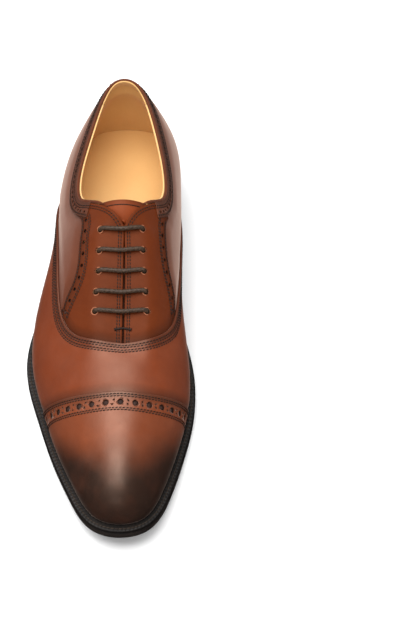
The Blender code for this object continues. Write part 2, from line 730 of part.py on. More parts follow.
def tongue(material):
    """The tongue under the facings, with its origin on the line where it is stitched at the throat."""
    half = spline(*TONGUE_HALF)
    across = np.linspace(0, 1, 11)[:, None]
    u = np.linspace(-1, 1, 9)[None, :]
    start = TONGUE_TOP + 0.004 - TONGUE_ARCH * u**2
    a = start + across * (TONGUE_ROOT - start)
    w = 1 + u * half(a)
    depth = TONGUE_DEPTH - (TONGUE_DEPTH - TONGUE_TOP_DEPTH) * smooth((0.446 - a) / 0.035)
    obj = leather("tongue", [(np.stack([a, w], -1), depth, None)], TONGUE, material)
    root = to_world(layer(TONGUE_ROOT, 1.0, TONGUE_DEPTH + TONGUE / 2))
    for v in obj.data.vertices:
        v.co -= mathutils.Vector(root)
    obj.location = root
    return obj


# Lacing.
def lace_holes():
    """(a, w) of each lace hole by (side, row), with row 0 at the top."""
    return {(side, i): at(a, lat if side < 0 else med, side)
            for i, (a, lat, med) in enumerate(LACE_ROWS) for side in SIDES}


def hole_frame(a, w):
    """Centre of a hole on the leather, and the leather's outward direction there."""
    return layer(a, w, 0), wall_normal(a, w)


def punch_lace_holes(pieces):
    """Cuts the lace holes through the facings and their linings."""
    for (side, row), (a, w) in lace_holes().items():
        centre, out = hole_frame(a, w)
        bm = bmesh.new()
        bmesh.ops.create_cone(bm, cap_ends=True, segments=12, radius1=EYELET_HOLE_R * MM,
                              radius2=EYELET_HOLE_R * MM, depth=12 * MM)
        name = "lace_hole_%s_%d" % (NAMES[side], row + 1)
        cutter = link(name, to_mesh(name, bm), None, CUTTERS)
        place(cutter, centre, out)
        cutter.hide_render = True
        cutter.display_type = "WIRE"
        for piece in pieces[side]:
            cut = piece.modifiers.new(name, "BOOLEAN")
            cut.operation = "DIFFERENCE"
            cut.object = cutter


def place(obj, centre, out):
    """Moves an object to a point with its Z along the outward direction."""
    direction = mathutils.Vector((out[0], -out[1], out[2]))
    obj.rotation_mode = "QUATERNION"
    obj.rotation_quaternion = direction.to_track_quat("Z", "Y")
    obj.location = to_world(centre)


def eyelets(material):
    """Blind eyelets: turned rings set from the lining side, hidden under the facings."""
    bm = bmesh.new()
    verts = [bm.verts.new((r * MM, 0, z * MM)) for r, z in EYELET_PROFILE]
    for p, q in zip(verts, verts[1:] + verts[:1]):
        bm.edges.new((p, q))
    mesh = to_mesh("eyelet", bm)
    for (side, row), (a, w) in lace_holes().items():
        obj = link("eyelet_%s_%d" % (NAMES[side], row + 1), mesh, None)
        if not mesh.materials:
            mesh.materials.append(material)
        screw = obj.modifiers.new("turn", "SCREW")
        screw.steps = 10
        screw.render_steps = 10
        screw.use_merge_vertices = True
        screw.merge_threshold = 0.00001
        place(obj, *hole_frame(a, w))


def lace_points():
    """The lace's route: five straight bars outside, joined by runs under the facings.

    It starts under the lateral facing at the second row, and ends under the medial facing at the
    top row. Rows count from the top.
    """
    holes = lace_holes()
    points = []

    def add(a, w, depth):
        points.append(layer(a, w, depth))

    def beside_hole(side, row, sideways, depth):
        """A point beside a hole, moved along w by millimetres (positive towards the ridge)."""
        a, w = holes[side, row]
        add(a, w - side * sideways / PER_W, depth)

    def through(side, row, outwards, lane):
        """The points through one hole, listed from inside out, or from outside in."""
        a, w = holes[side, row]
        toe = lane / PER_A
        steps = [(a + toe, 0, LACE_UNDER), (a + 0.3 * toe, 0, 4.4), (a, 0, 3.1), (a, 0, 0.3),
                 (a, 0.6, -1.2), (a, 2.2, -LACE_LIFT)]
        for a_step, inward, depth in steps if outwards else steps[::-1]:
            add(a_step, w - side * inward / PER_W, depth)

    def bar(row, start, lane_in, lane_out):
        through(start, row, True, lane_in)
        first, last = holes[start, row], holes[-start, row]
        for k in (0.3, 0.5, 0.7):
            w = first[1] + k * (last[1] - first[1])
            near = min(abs(w - first[1]), abs(w - last[1]))
            add(first[0] + k * (last[0] - first[0]) + STRAIGHT * near, w, -LACE_LIFT)
        through(-start, row, False, lane_out)

    def under(side, first, last, sideways):
        """A run under the facing between two rows, moved aside in its middle."""
        a, w = (0.5 * (np.array(holes[side, first]) + np.array(holes[side, last])))
        add(a, w + side * sideways / PER_W, LACE_UNDER)

    def tail(side, row, end_a, sideways):
        """The cord from beside a hole to its end under the facing."""
        a0, w0 = holes[side, row]
        found = []
        for a in np.linspace(a0 + 0.012, end_a, 6):
            aside = sideways * min(1, (a - a0) * PER_A / 9)
            found.append(layer(a, w0 + side * aside / PER_W, LACE_UNDER))
        return found

    first, last = TAILS
    points.extend(tail(*first[1:])[::-1])
    bar(1, -1, 2, 2)
    under(1, 1, 3, 3.2)
    bar(3, 1, -2, 2)
    under(-1, 3, 4, 0)
    bar(4, -1, -2, -2)
    under(1, 4, 2, -3.2)
    bar(2, 1, 2, -2)
    under(-1, 2, 0, -3.2)
    bar(0, -1, 2, 2)
    points.extend(tail(*last[1:]))
    return np.array(points)


def lace(cord, metal):
    """The lace and, past each of its ends, an aglet that follows the same lane."""
    tube("lace", lace_points(), LACE_R, cord)
    for name, side, row, end_a, sideways in TAILS:
        w = lace_holes()[side, row][1] + side * sideways / PER_W
        a = end_a + (GAP + np.linspace(0, AGLET, 4)) / PER_A
        tube(name, layer(a, w, LACE_UNDER), LACE_R, metal)


def bar_tack(material):
    """The thread bar that closes the foot of the lacing slit."""
    w = 1 + np.linspace(-0.075, 0.075, 5)
    tube("bar_tack", layer(0.667, w, -1.0), 0.6, material)


def topline_bead(material):
    """The bead that finishes the topline, from one facing round the back to the other."""
    a = np.concatenate([fan(0, 0.025, 3), np.linspace(0.045, 0.32, 8), np.linspace(0.34, COLLAR_END, 5)])
    lines = []
    for side in SIDES:
        edge = np.stack([a, topline(a) if side < 0 else 2 - topline(a)], -1)
        line = beside(edge, BEAD_R + 3 * GAP, side)
        lines.append(layer(line[:, 0], line[:, 1], 0.8))
    back = 0.5 * (lines[0][:1] + lines[1][:1])
    tube("topline_bead", np.concatenate([lines[0][:0:-1], back, lines[1][1:]]), BEAD_R, material)


# The bottom.
def plan_edge(a, side, out):
    """Plan point (x, t) outside the feather edge by a distance."""
    h = 1e-3
    run = feather(a + h, side)[..., :2] - feather(a - h, side)[..., :2]
    run /= np.linalg.norm(run, axis=-1, keepdims=True)
    square = np.stack([run[..., 1], -run[..., 0]], -1) * side
    return feather(a, side)[..., :2] + square * np.asarray(out)[..., None]


def plan_inset(a, side, inset):
    """Plan point inside the feather edge by a distance."""
    return (feather(a, side) - outward(a, side) * inset)[..., :2]


def cosine(start, end, count):
    return start + (end - start) * (1 - np.cos(np.linspace(0, math.pi, count))) / 2


def plate(lateral, medial, columns):
    """Grid of plan points straight across from the lateral line to the medial line."""
    c = np.linspace(0, 1, columns)[None, :, None]
    return ((1 - c) * lateral[:, None] + c * medial[:, None])


def ring(a, outer, inner):
    """Grid of plan points round one end of the shoe, from an outer to an inner line."""
    rows = []
    for side, order in ((-1, a), (1, a[::-1])):
        o, i = outer(order, side), inner(order, side)
        rows.append(np.stack([o, 0.5 * (o + i), i], axis=1))
    return np.concatenate([rows[0], rows[1][1:]])


def level(height):
    return lambda t: sole_rise(t) + height


def flat(height):
    return lambda t: 0 * t + height


def sole_edge(a, side, inset=0.0):
    return plan_edge(a, side, welt_edge(a) - inset)


def outsole(material):
    a = cosine(0, 1, 37)
    block("outsole", plate(sole_edge(a, -1), sole_edge(a, 1), 3), sole_rise, level(OUTSOLE), material)


def welt(material):
    a = fan(BREAST_A, 1, 24)
    grid = ring(a, sole_edge, lambda x, side: plan_inset(x, side, WELT_INSET))
    block("welt", grid, level(WELT_LOW), level(WELT_LOW + WELT_THICK), material)


def heel_rand(material):
    a = fan(0, BREAST_A - BUTT / PER_A, 11)[::-1]
    grid = ring(a, sole_edge, lambda x, side: plan_inset(x, side, WELT_INSET))
    block("heel_rand", grid, level(WELT_LOW), level(WELT_LOW + WELT_THICK), material)


def insole(material):
    a = cosine(0, 1, 29)
    inset = INSOLE_INSET + TOE_INSET * smooth((a - 0.82) / 0.12)
    grid = plate(plan_edge(a, -1, -inset), plan_edge(a, 1, -inset), 4)
    block("insole", grid, level(INSOLE_LOW), level(INSOLE_LOW + INSOLE_THICK), material)


def sock_liner(material):
    a = cosine(0, 1, 29)
    inset = INSOLE_INSET + TOE_INSET * smooth((a - 0.82) / 0.12)
    grid = plate(plan_edge(a, -1, -inset), plan_edge(a, 1, -inset), 4)
    low = INSOLE_LOW + INSOLE_THICK + GAP
    block("sock_liner", grid, level(low), level(low + SOCK_THICK), material)


def insole_rib(material):
    a = cosine(0, 1, 23)[2:]
    rows = ring(a, lambda x, side: plan_inset(x, side, RIB_INSET),
                lambda x, side: plan_inset(x, side, RIB_INSET + RIB_THICK))
    block("insole_rib", rows[:, ::2], level(WELT_LOW + 1), level(INSOLE_LOW - 2 * GAP), material)


def cork_filler(material):
    a = fan(0.515, 0.97, 14)
    inset = RIB_INSET + RIB_THICK + 3 * GAP
    grid = plate(plan_inset(a, -1, inset), plan_inset(a, 1, inset), 4)
    block("cork_filler", grid, level(WELT_LOW), level(INSOLE_LOW - 2 * GAP), material)


def shank(material):
    t = np.linspace(45, 149, 12)
    x = np.stack([AXIS_X - SHANK_HALF + 0 * t, t], -1)
    y = np.stack([AXIS_X + SHANK_HALF + 0 * t, t], -1)
    block("shank", plate(x, y, 2), level(WELT_LOW + 1.5), level(WELT_LOW + 3.0), material)


def heel(rubber, stack):
    """The heel block: a rubber top piece on the floor, and leather lifts up to the outsole."""
    a = fan(0, BREAST_A, 14)
    levels = [0] + [TOP_PIECE + GAP + k * (LIFT + GAP) for k in range(3)]
    for k, low in enumerate(levels):
        inset = HEEL_TAPER * (1 - low / 25)
        grid = plate(sole_edge(a, -1, inset), sole_edge(a, 1, inset), 4)
        name = "heel_lift_%d" % k if k else "heel_top_piece"
        top = TOP_PIECE if k == 0 else low + LIFT
        high = level(-GAP) if k == 3 else flat(top)
        block(name, grid, flat(low), high, stack if k else rubber)


def clear_scene():
    for obj in list(bpy.data.objects):
        bpy.data.objects.remove(obj, do_unlink=True)
    for name in (SHOE, CUTTERS):
        bpy.context.scene.collection.children.link(bpy.data.collections.new(name))


def main():
    clear_scene()
    tan = new_material("tan_leather", (154, 80, 48), 0.35)
    brown = new_material("brown_leather", (107, 54, 30), 0.35)
    toe = new_material("burnished_leather", (85, 50, 38), 0.3)
    lining = new_material("lining_leather", (196, 140, 90), 0.6)
    board = new_material("insole_board", (200, 160, 110), 0.8)
    sole = new_material("sole_leather", (71, 63, 59), 0.5)
    rubber = new_material("heel_rubber", (40, 36, 34), 0.7)
    cork = new_material("cork", (150, 110, 70), 0.9)
    steel = new_material("steel", (150, 150, 150), 0.35, 1.0)
    brass = new_material("brass", (150, 120, 70), 0.4, 1.0)
    cord = new_material("waxed_cord", (75, 65, 55), 0.5)
    toe_cap(toe)
    vamp(tan)
    facings = {side: facing(side, tan) for side in SIDES}
    linings = {side: lining_quarter(side, lining) for side in SIDES}
    for side in SIDES:
        quarter(side, brown)
        collar_band(side, brown)
    backstay(brown)
    toe_puff(board)
    heel_stiffener(board)
    lining_heel(lining)
    lining_vamp(lining)
    tongue(tan)
    punch_lace_holes({side: (facings[side], linings[side]) for side in SIDES})
    eyelets(brass)
    lace(cord, brass)
    bar_tack(cord)
    topline_bead(brown)
    outsole(sole)
    welt(sole)
    heel_rand(sole)
    insole(board)
    insole_rib(board)
    cork_filler(cork)
    shank(steel)
    sock_liner(lining)
    heel(rubber, sole)


main()
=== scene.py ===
"""Looks of the leather oxford shoe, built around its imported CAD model.

The upper follows the same last surface as the CAD: a runs from the heel's back (0) to the toe tip
(1), and w from the lateral feather edge (0) over the ridge (1) to the medial feather edge (2).
Depths and distances over the surface are in millimetres.
"""

import math

import bmesh
import bpy
import numpy as np
from mathutils import Matrix, Vector


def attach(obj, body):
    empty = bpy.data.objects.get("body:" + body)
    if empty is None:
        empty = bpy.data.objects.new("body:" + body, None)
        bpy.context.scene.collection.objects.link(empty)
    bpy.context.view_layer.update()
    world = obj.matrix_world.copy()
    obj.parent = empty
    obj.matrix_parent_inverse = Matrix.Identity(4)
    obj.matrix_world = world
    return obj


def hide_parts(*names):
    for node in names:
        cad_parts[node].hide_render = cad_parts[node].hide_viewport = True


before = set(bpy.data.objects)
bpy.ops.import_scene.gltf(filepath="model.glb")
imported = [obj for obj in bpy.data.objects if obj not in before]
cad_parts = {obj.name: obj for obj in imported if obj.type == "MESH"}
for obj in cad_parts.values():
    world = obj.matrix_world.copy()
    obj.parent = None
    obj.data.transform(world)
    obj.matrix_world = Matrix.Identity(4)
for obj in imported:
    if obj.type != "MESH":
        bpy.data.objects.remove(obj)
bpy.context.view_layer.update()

MM = 0.001
MIDDLE_X = -0.06
MIDDLE_T = 153.215
PER_A = 290.0  # millimetres along the shoe for each unit of a
PER_W = 84.0  # millimetres up the wall for each unit of w
SPACING = (3.0, 1.0)  # weights of a and w where distances in them are compared
WELD = 2e-5
SLIVER = 1e-6

# Last: one row for each station a.
STATIONS = [0, 0.07, 0.16, 0.27, 0.38, 0.50, 0.61, 0.72, 0.82, 0.90, 0.955, 1.0]
FEATHER_T = [4, 9.5, 34, 74, 112, 150, 182, 215, 247, 274, 294, 299.2]
LATERAL_HALF = [0, 20.5, 32.5, 38.5, 42, 51.3, 55, 48, 38, 27, 15.1, 0]
MEDIAL_HALF = [0, 21.5, 31.5, 32, 31, 32, 38, 39, 32.4, 24.6, 14.4, 0]
RIDGE_T = [22, 23.5, 40, 80, 112, 146, 176, 206, 234, 256, 268, 273]
FEATHER_HANDLE = [32, 18, 24, 29, 30, 28, 25, 23, 20, 17, 16, 16]
LATERAL_FLARE = [14, 11, 19, 25, 25, 25, 17, 13, 13, 12, 10, 8]
MEDIAL_FLARE = [14, 14, 24, 28.5, 29.5, 26, 18, 14, 13, 12, 10, 8]
RIDGE_HANDLE = [20, 25, 25, 30, 28, 30, 30, 28, 24, 18, 16, 15]
RIDGE_TILT = [65, 52, 51, 45, 26, 6, 0, 0, 0, 0, 0, 0]
AXIS_X = 8.0
RIDGE_X = ([0, 60, 120, 180, 230, 275], [8, 9, 10, 9.6, 8.5, 8])
RIDGE_Z = (
    [0, 60, 100, 120, 140, 160, 180, 200, 225, 250, 275, 300],
    [106, 107, 105, 99, 89.5, 79.8, 70.5, 62.5, 55, 50.2, 46, 40],
)
SOLE_RISE = ([0, 40, 75, 115, 150, 180, 225, 265, 305], [26, 25, 23, 13.5, 4, 0, 0, 4.4, 11.5])

# Heights above the outsole's underside, and thicknesses.
GAP = 0.3
OUTSOLE = 5.0
WELT_LOW = OUTSOLE + GAP
WELT_THICK = 2.8
FEATHER_HEIGHT = 8.6
INSOLE_LOW = 11.5
INSOLE_THICK = 3.0
SOCK_THICK = 1.0
MARGIN = 8.0
LINING_MARGIN = 0.58
WELT_INSET = 9.4
INSOLE_INSET = 7.6
TOE_INSET = 3.0
WELT_EDGE = (
    [0, 0.1, 0.3, 0.42, 0.55, 0.7, 0.82, 0.92, 1],
    [1.5, 1.5, 1.5, 2.4, 5.0, 4.2, 4.1, 4.5, 5.1],
)

# Layers of the upper, as depths under its outside.
LINING_DEPTH = 4.4
LINING_EDGE_DEPTH = 1.55
LINING = 0.8
LINING_BUTT = 0.7
TONGUE_DEPTH = 6.9
TONGUE = 1.5
BUTT = 0.7
MARGIN_UNDER = 1.6

# Seams, as (a, v) points with v from the feather edge (0) to the ridge (1).
WING = 0.235
CAP_FOOT = 0.722
CAP_TOP = 0.804
THROAT = 0.699
SLIT = 0.985
SLIT_TOP = 0.459
TOPLINE = [
    (0, 0.739), (0.03, 0.747), (0.07, 0.742), (0.12, 0.68), (0.16, 0.635), (0.22, 0.588), (0.27, 0.56),
    (0.31, 0.56), (0.34, 0.585), (0.36, 0.63), (0.38, 0.72), (0.403, 0.83), (0.429, 0.925),
    (SLIT_TOP, SLIT),
]
COLLAR_LOW = [
    (0, 0.672), (0.07, 0.672), (0.12, 0.612), (0.16, 0.568), (0.22, 0.522), (0.27, 0.494), (0.31, 0.492),
    (0.345, 0.516), (0.37, 0.568), (0.388, 0.62),
]
FACING_EDGE = {
    -1: [(0.388, 0.62), (0.405, 0.665), (0.44, 0.682), (0.475, 0.689), (0.505, 0.688), (0.53, 0.668),
         (0.55, 0.63), (0.567, 0.592), (0.583, 0.556)],
    1: [(0.388, 0.585), (0.40, 0.61), (0.43, 0.63), (0.46, 0.63), (0.495, 0.606), (0.525, 0.56),
        (0.55, 0.53), (0.575, 0.511)],
}
VAMP_SEAM = {
    -1: [(WING, 0), (0.30, 0.20), (0.37, 0.34), (0.45, 0.465), (0.52, 0.525), (0.583, 0.556),
         (0.615, 0.587), (0.645, 0.65), (0.669, 0.75), (0.686, 0.865), (THROAT, 1)],
    1: [(WING, 0), (0.31, 0.15), (0.39, 0.27), (0.46, 0.355), (0.53, 0.455), (0.575, 0.511),
        (0.62, 0.588), (0.651, 0.69), (0.681, 0.838), (THROAT, 1)],
}
LINING_SEAM = [(0.36, 0), (0.50, 0.32), (0.60, 0.49), (0.655, 0.63), (0.69, 0.80), (0.706, 1)]
CAP_LINE = [(CAP_FOOT, 0), (0.736, 0.21), (0.757, 0.46), (0.782, 0.73), (CAP_TOP, 1)]
TONGUE_HALF = ([0.40, 0.45, 0.55, 0.64, 0.70], [0.29, 0.29, 0.25, 0.21, 0.17])
TONGUE_TOP = 0.398
TONGUE_ARCH = 0.02
TONGUE_ROOT = 0.692
TONGUE_SIDES = 3.6  # depths at the tongue's top, beside the ridge and under it
TONGUE_CROWN = 5.6
LACE_ROWS = [  # a, lateral v, medial v, from the top row down to the throat
    (0.453, 0.833, 0.858), (0.495, 0.834, 0.860), (0.537, 0.834, 0.854), (0.579, 0.820, 0.842),
    (0.6185, 0.812, 0.829),
]

# Heel, lace and small parts.
BREAST_A = 0.272
TOP_PIECE = 6.0
LIFT = 4.7
HEEL_LIFTS = 3
HEEL_HIGH = 25.0
HEEL_TAPER = 1.4
BACKSTAY = 0.034
COLLAR_START = (BACKSTAY - 0.006, 0.679)
HEEL_LINING_A = 0.13
LACE_LIFT = 1.65
LACE_UNDER = 5.2
TAILS = ((-1, 1, 0.565, 5.0), (1, 0, 0.56, 6.5))  # side, row of the hole, end a, millimetres aside

SIDES = (-1, 1)
NAMES = {-1: "lateral", 1: "medial"}

# What only the looks have, in millimetres unless said.
UPPER_THICK = 0.5  # the visible skin of the upper, thinner than the leather under it
FAR = 30.0  # a distance from a seam at which nothing of it shows
SHARP = math.radians(50)
CURL_R = 0.55
# A border's lines as (past the edge, deeper): an edge that curls down, and a lap under the next piece.
CURL = [(CURL_R * math.sin(p), CURL_R * (1 - math.cos(p))) for p in (0.5, 1.0, math.pi / 2)]
CURL.append((CURL_R, 1.15))
UNDER = [(2.0, 0.15), (5.0, 0.2), (8.0, 0.2), (13.0, 0.2)]
SHORT_UNDER = [(1.5, 0.15), (3.5, 0.2), (5.5, 0.2)]
LINING_RIM = [(1.0, -0.1), (1.8, -0.1), (2.6, -0.15)]
LACED_FLAT = 2.7  # how much the lacing presses the instep down at the slit
LACED_FULL = 1.2  # and how much the leather swells beside it
HEEL_CUP = 4.0
RISE = 0.35  # a piece stands so much higher at its edge over the next one
RISE_REACH = 6.0
SINK = 0.95  # and lies so much deeper under the edge of another
SINK_REACH = 8.0
BACKSTAY_RISE = 0.45
VISIBLE_SLIT = 0.9865
COLLAR_TIP = 0.381
COLLAR_TAB = {
    -1: [(0.37, 0.566), (0.388, 0.622), (0.399, 0.668), (0.4075, 0.704)],
    1: [(0.37, 0.560), (0.388, 0.614), (0.399, 0.662), (0.4075, 0.704)],
}
WELT_TOP = WELT_LOW + WELT_THICK
NOTCH_PITCH = 2.6
NOTCH_STEPS = 7
NOTCH = 0.28
SOCK_INSET = 4.2
LACE_R = 1.35
STRAIGHT = 0.078  # how far a moves, per unit of w, along a line that runs square across the shoe
BAR_SAG = 0.6  # a taut bar dips less than the leather under it
BRAID = 2.6
STRANDS = 4
BAR_TACK_A = 0.6655
BAR_TACK_HALF = 0.062  # in units of w
BAR_TACK_SPOTS = 25
BAR_TACK_R = 0.62
BAR_TACK_KNOT = 0.28
BEAD_R = 0.95
HOLE_R = 1.95

# Stitches: a capsule's rings as (along, radius), and rows as distances from a piece's edge.
CAPSULE = [(-1.0, 0.25), (-0.8, 0.8), (-0.35, 1.0), (0.35, 1.0), (0.8, 0.8), (1.0, 0.25)]
CAPSULE_SIDES = 6
STITCH_PITCH = 2.1
STITCH_HALF = 0.82
STITCH_R = 0.3
STITCH_LIFT = 0.12
STITCH_SLANT = 0.16
CAP_ROWS = (1.3, 2.7, 10.0, 11.4)
VAMP_ROWS = (1.2, 2.6, 4.2, 5.6)
FACING_ROWS = (1.0, 5.6, 7.0)
SLIT_ROWS = (1.3, 2.8)
COLLAR_ROW = 1.0
TOPLINE_ROWS = (1.8, 3.2)
TONGUE_ROW = 3.2
WELT_ROW = 2.1

# Punched holes: their row's distance from the edge, the first one's place along it, pitch, radius,
# and depth of the leather under them.
CAP_PUNCHES = (6.4, 0.0, 4.35, 1.75, 0.85)
FACING_PUNCHES = (3.3, 2.0, 7.9, 1.0, 0.8)
COLLAR_PUNCHES = (2.9, 1.0, 4.2, 0.8, 0.55)
PAIR_R = 0.45
PAIR_APART = 1.15
BACKING_THICK = 0.15
BACKING_MORE = 0.3  # the leather under a hole is so much wider than the hole
LINING_HOLE_MORE = 0.3
RIM_OUT = 0.22  # the raised rim of a lace hole
RIM_WIDE = 0.38
RIM_HIGH = 0.26

# Studio: the lights' names, places, aims, sizes in metres and watts; the camera in millimetres.
LIGHTS = (
    ("overhead", (-0.2, 0.0, 1.2), (0, -0.03, 0), (1.15, 1.15), 20),
    ("front", (-0.3, -1.35, 0.75), (0, -0.1, 0.02), (0.9, 0.4), 1.6),
    ("left", (-1.2, 1.0, 0.5), (0, 0, 0.03), (0.6, 0.8), 2.5),
    ("right", (1.2, 1.1, 0.5), (0, 0, 0.03), (0.5, 0.8), 1.5),
)
WORLD_LIGHT = 0.82
CAMERA_PLACE = (52.243, -789.819, 1078.16)
CAMERA_TILT = 37.0
CAMERA_TURN = -0.5
FOCAL_LENGTH = 122.31
SENSOR = 36.0
SHIFT = 0.003205


def unit(vectors):
    return vectors / np.linalg.norm(vectors, axis=-1, keepdims=True)


def lengths(points):
    """How far along its polyline each point lies."""
    return np.concatenate([[0], np.cumsum(np.linalg.norm(np.diff(points, axis=0), axis=1))])


def spline(xs, ys):
    """Natural cubic spline through the points, as a function."""
    xs = np.asarray(xs, float)
    ys = np.asarray(ys, float)
    n = len(xs)
    h = np.diff(xs)
    rows = np.eye(n)
    right = np.zeros(n)
    for i in range(1, n - 1):
        rows[i, i - 1 : i + 2] = h[i - 1], 2 * (h[i - 1] + h[i]), h[i]
        right[i] = 6 * ((ys[i + 1] - ys[i]) / h[i] - (ys[i] - ys[i - 1]) / h[i - 1])
    bend = np.linalg.solve(rows, right)

    def value(x):
        x = np.asarray(x, float)
        i = np.clip(np.searchsorted(xs, x) - 1, 0, n - 2)
        d = h[i]
        p = (xs[i + 1] - x) / d
        q = (x - xs[i]) / d
        curved = (p**3 - p) * bend[i] + (q**3 - q) * bend[i + 1]
        return p * ys[i] + q * ys[i + 1] + curved * d * d / 6

    return value


def station_spline(values, sign):
    """Spline over the stations, mirrored past both ends so that the two sides meet smoothly."""
    xs = [-x for x in STATIONS[2:0:-1]] + STATIONS + [2 - x for x in STATIONS[-2:-4:-1]]
    ys = [sign * y for y in values[2:0:-1]] + values + [sign * y for y in values[-2:-4:-1]]
    return spline(xs, ys)


feather_t = station_spline(FEATHER_T, 1)
half_width = {-1: station_spline(LATERAL_HALF, -1), 1: station_spline(MEDIAL_HALF, -1)}
flare = {-1: station_spline(LATERAL_FLARE, 1), 1: station_spline(MEDIAL_FLARE, 1)}
feather_handle = station_spline(FEATHER_HANDLE, 1)
ridge_handle = station_spline(RIDGE_HANDLE, 1)
ridge_tilt = station_spline(RIDGE_TILT, 1)
ridge_t = station_spline(RIDGE_T, 1)
ridge_x = spline(*RIDGE_X)
ridge_z = spline(*RIDGE_Z)
sole_spline = spline(*SOLE_RISE)
welt_edge = spline(*WELT_EDGE)
topline = spline(*zip(*TOPLINE))


def sole_rise(t):
    """Height of the outsole's underside over the floor: flat under the ball of the foot."""
    return np.maximum(sole_spline(t), 0)


def sided(a, v, side):
    """(a, w) of points at a and at a height v on one side."""
    return np.stack([a, v if side < 0 else 2 - v], -1)


def height_on(points, side):
    return points[..., 1] if side < 0 else 2 - points[..., 1]


def by_side(pair, a, side):
    return np.where(side < 0, pair[-1](a), pair[1](a))


def feather(a, side):
    """Point of the feather edge, where the upper turns under the foot."""
    t = feather_t(a)
    x = AXIS_X + side * by_side(half_width, a, side)
    return np.stack([x, t, sole_rise(t) + FEATHER_HEIGHT], -1)


def ridge(a):
    t = ridge_t(a)
    return np.stack([ridge_x(t), t, ridge_z(t)], -1)


def outward(a, side):
    """Horizontal unit vector from the ridge to the feather edge."""
    d = feather(a, side) - ridge(a)
    d[..., 2] = 0
    return unit(d)


def wall(a, w):
    """Point of the upper's outside at a and w, with w from 0 to 2."""
    a, w = np.broadcast_arrays(np.asarray(a, float), np.asarray(w, float))
    side = np.where(w <= 1, -1, 1)
    v = np.where(w <= 1, w, 2 - w)[..., None]
    foot = feather(a, side)
    top = ridge(a)
    out = outward(a, side)
    up = np.array([0, 0, 1.0])
    lean = np.radians(by_side(flare, a, side))[..., None]
    tilt = np.radians(np.clip(ridge_tilt(a), 0, 85))[..., None]
    low = foot + feather_handle(a)[..., None] * (out * np.sin(lean) + up * np.cos(lean))
    high = top + ridge_handle(a)[..., None] * (out * np.cos(tilt) - up * np.sin(tilt))
    slope = ridge_z(top[..., 1] + 0.5) - ridge_z(top[..., 1] - 0.5)
    high[..., 2] += (high[..., 1] - top[..., 1]) * slope * np.cos(tilt[..., 0])
    return (1 - v) ** 3 * foot + 3 * (1 - v) ** 2 * v * low + 3 * (1 - v) * v**2 * high + v**3 * top


def wall_normal(a, w):
    """Outward unit normal of the upper's outside."""
    h = 1e-3
    w = np.clip(w, h, 2 - h)
    a = np.where(abs(w - 1) < 0.06, np.minimum(a, 0.96), a)

    def square(w):
        return unit(np.cross(wall(a, w + h) - wall(a, w - h), wall(a + h, w) - wall(a - h, w)))

    n = square(w)
    # The two sides share one normal along the back seam and along the toe's centre.
    return unit(np.where((np.abs(a - 0.5) > 0.4999)[..., None], n + square(2 - w), n))


def layer(a, w, depth, margin_depth=None):
    """Point at a depth under the outside. Past the feather edge it lies on the lasting margin."""
    a, w, depth = np.broadcast_arrays(*(np.asarray(x, float) for x in (a, w, depth)))
    under = depth if margin_depth is None else margin_depth
    on_wall = np.clip(w, 0, 2)
    past = np.maximum(-w, w - 2)
    n = wall_normal(a, on_wall)
    point = wall(a, on_wall)
    # At the feather edge both the wall's and the margin's depth hold.
    c = -n[..., 2]
    k = np.maximum(1 - c * c, 0.05)
    along_n = (-depth + c * under) / k
    along_up = -(-under + c * depth) / k
    corner = point + along_n[..., None] * n
    corner[..., 2] += along_up
    inner = point - depth[..., None] * n
    near = np.clip(1 - np.minimum(on_wall, 2 - on_wall) / 0.02, 0, 1)[..., None]
    point = inner + near * (corner - inner)
    side = np.where(w <= 1, -1, 1)
    inwards = np.maximum(past, 0)[..., None] * MARGIN
    moved = point - inwards * outward(a, side)
    moved[..., 2] += sole_rise(moved[..., 1]) - sole_rise(point[..., 1])
    return np.where(past[..., None] > 0, moved, point)


def to_world(points):
    p = np.asarray(points, float)
    return np.stack([p[..., 0] - MIDDLE_X, MIDDLE_T - p[..., 1], p[..., 2]], -1) * MM


def metric(a, w):
    """Millimetres per unit of a and of w."""
    h = 1e-3
    w = np.clip(w, h, 2 - h)
    per_a = np.linalg.norm(wall(a + h, w) - wall(a - h, w), axis=-1) / (2 * h)
    per_w = np.linalg.norm(wall(a, w + h) - wall(a, w - h), axis=-1) / (2 * h)
    return per_a, per_w


def curve_through(points, side=-1):
    """Smooth curve through (a, v) points on one side, as a function of 0..1 giving (a, w)."""
    p = np.array(points, float)
    span = np.linalg.norm(np.diff(p * SPACING, axis=0), axis=1)
    s = np.concatenate([[0], np.cumsum(span)]) / span.sum()
    fa = spline(s, p[:, 0])
    fv = spline(s, p[:, 1])

    return lambda x: sided(fa(x), fv(x), side)


def line_between(p, q):
    p = np.array(p, float)
    q = np.array(q, float)
    return lambda x: p + np.asarray(x, float)[..., None] * (q - p)


def part_of(curve, start, end):
    return lambda x: curve(start + np.asarray(x, float) * (end - start))


def beside(points, distance, side):
    """The (a, w) points of a line that runs towards the toe, moved towards the ridge by millimetres."""
    per_a, per_w = metric(points[:, 0], points[:, 1])
    run = unit(np.gradient(points, axis=0) * np.stack([per_a, per_w], -1))
    square = np.stack([-run[:, 1] / per_a, run[:, 0] / per_w], -1)
    return points - side * np.reshape(distance, (-1, 1)) * square


def shifted(curve, distance, side):
    x = np.linspace(0, 1, 81)
    p = beside(curve(x), distance, side)
    return lambda y: np.stack([np.interp(y, x, p[:, 0]), np.interp(y, x, p[:, 1])], -1)


def pinned(curve, first, last):
    """The curve with its ends moved to two given points."""
    shift = np.array(first) - curve(0.0), np.array(last) - curve(1.0)
    return lambda x: (curve(x) + shift[0] * (1 - np.asarray(x, float)[..., None]) ** 8
                      + shift[1] * np.asarray(x, float)[..., None] ** 8)


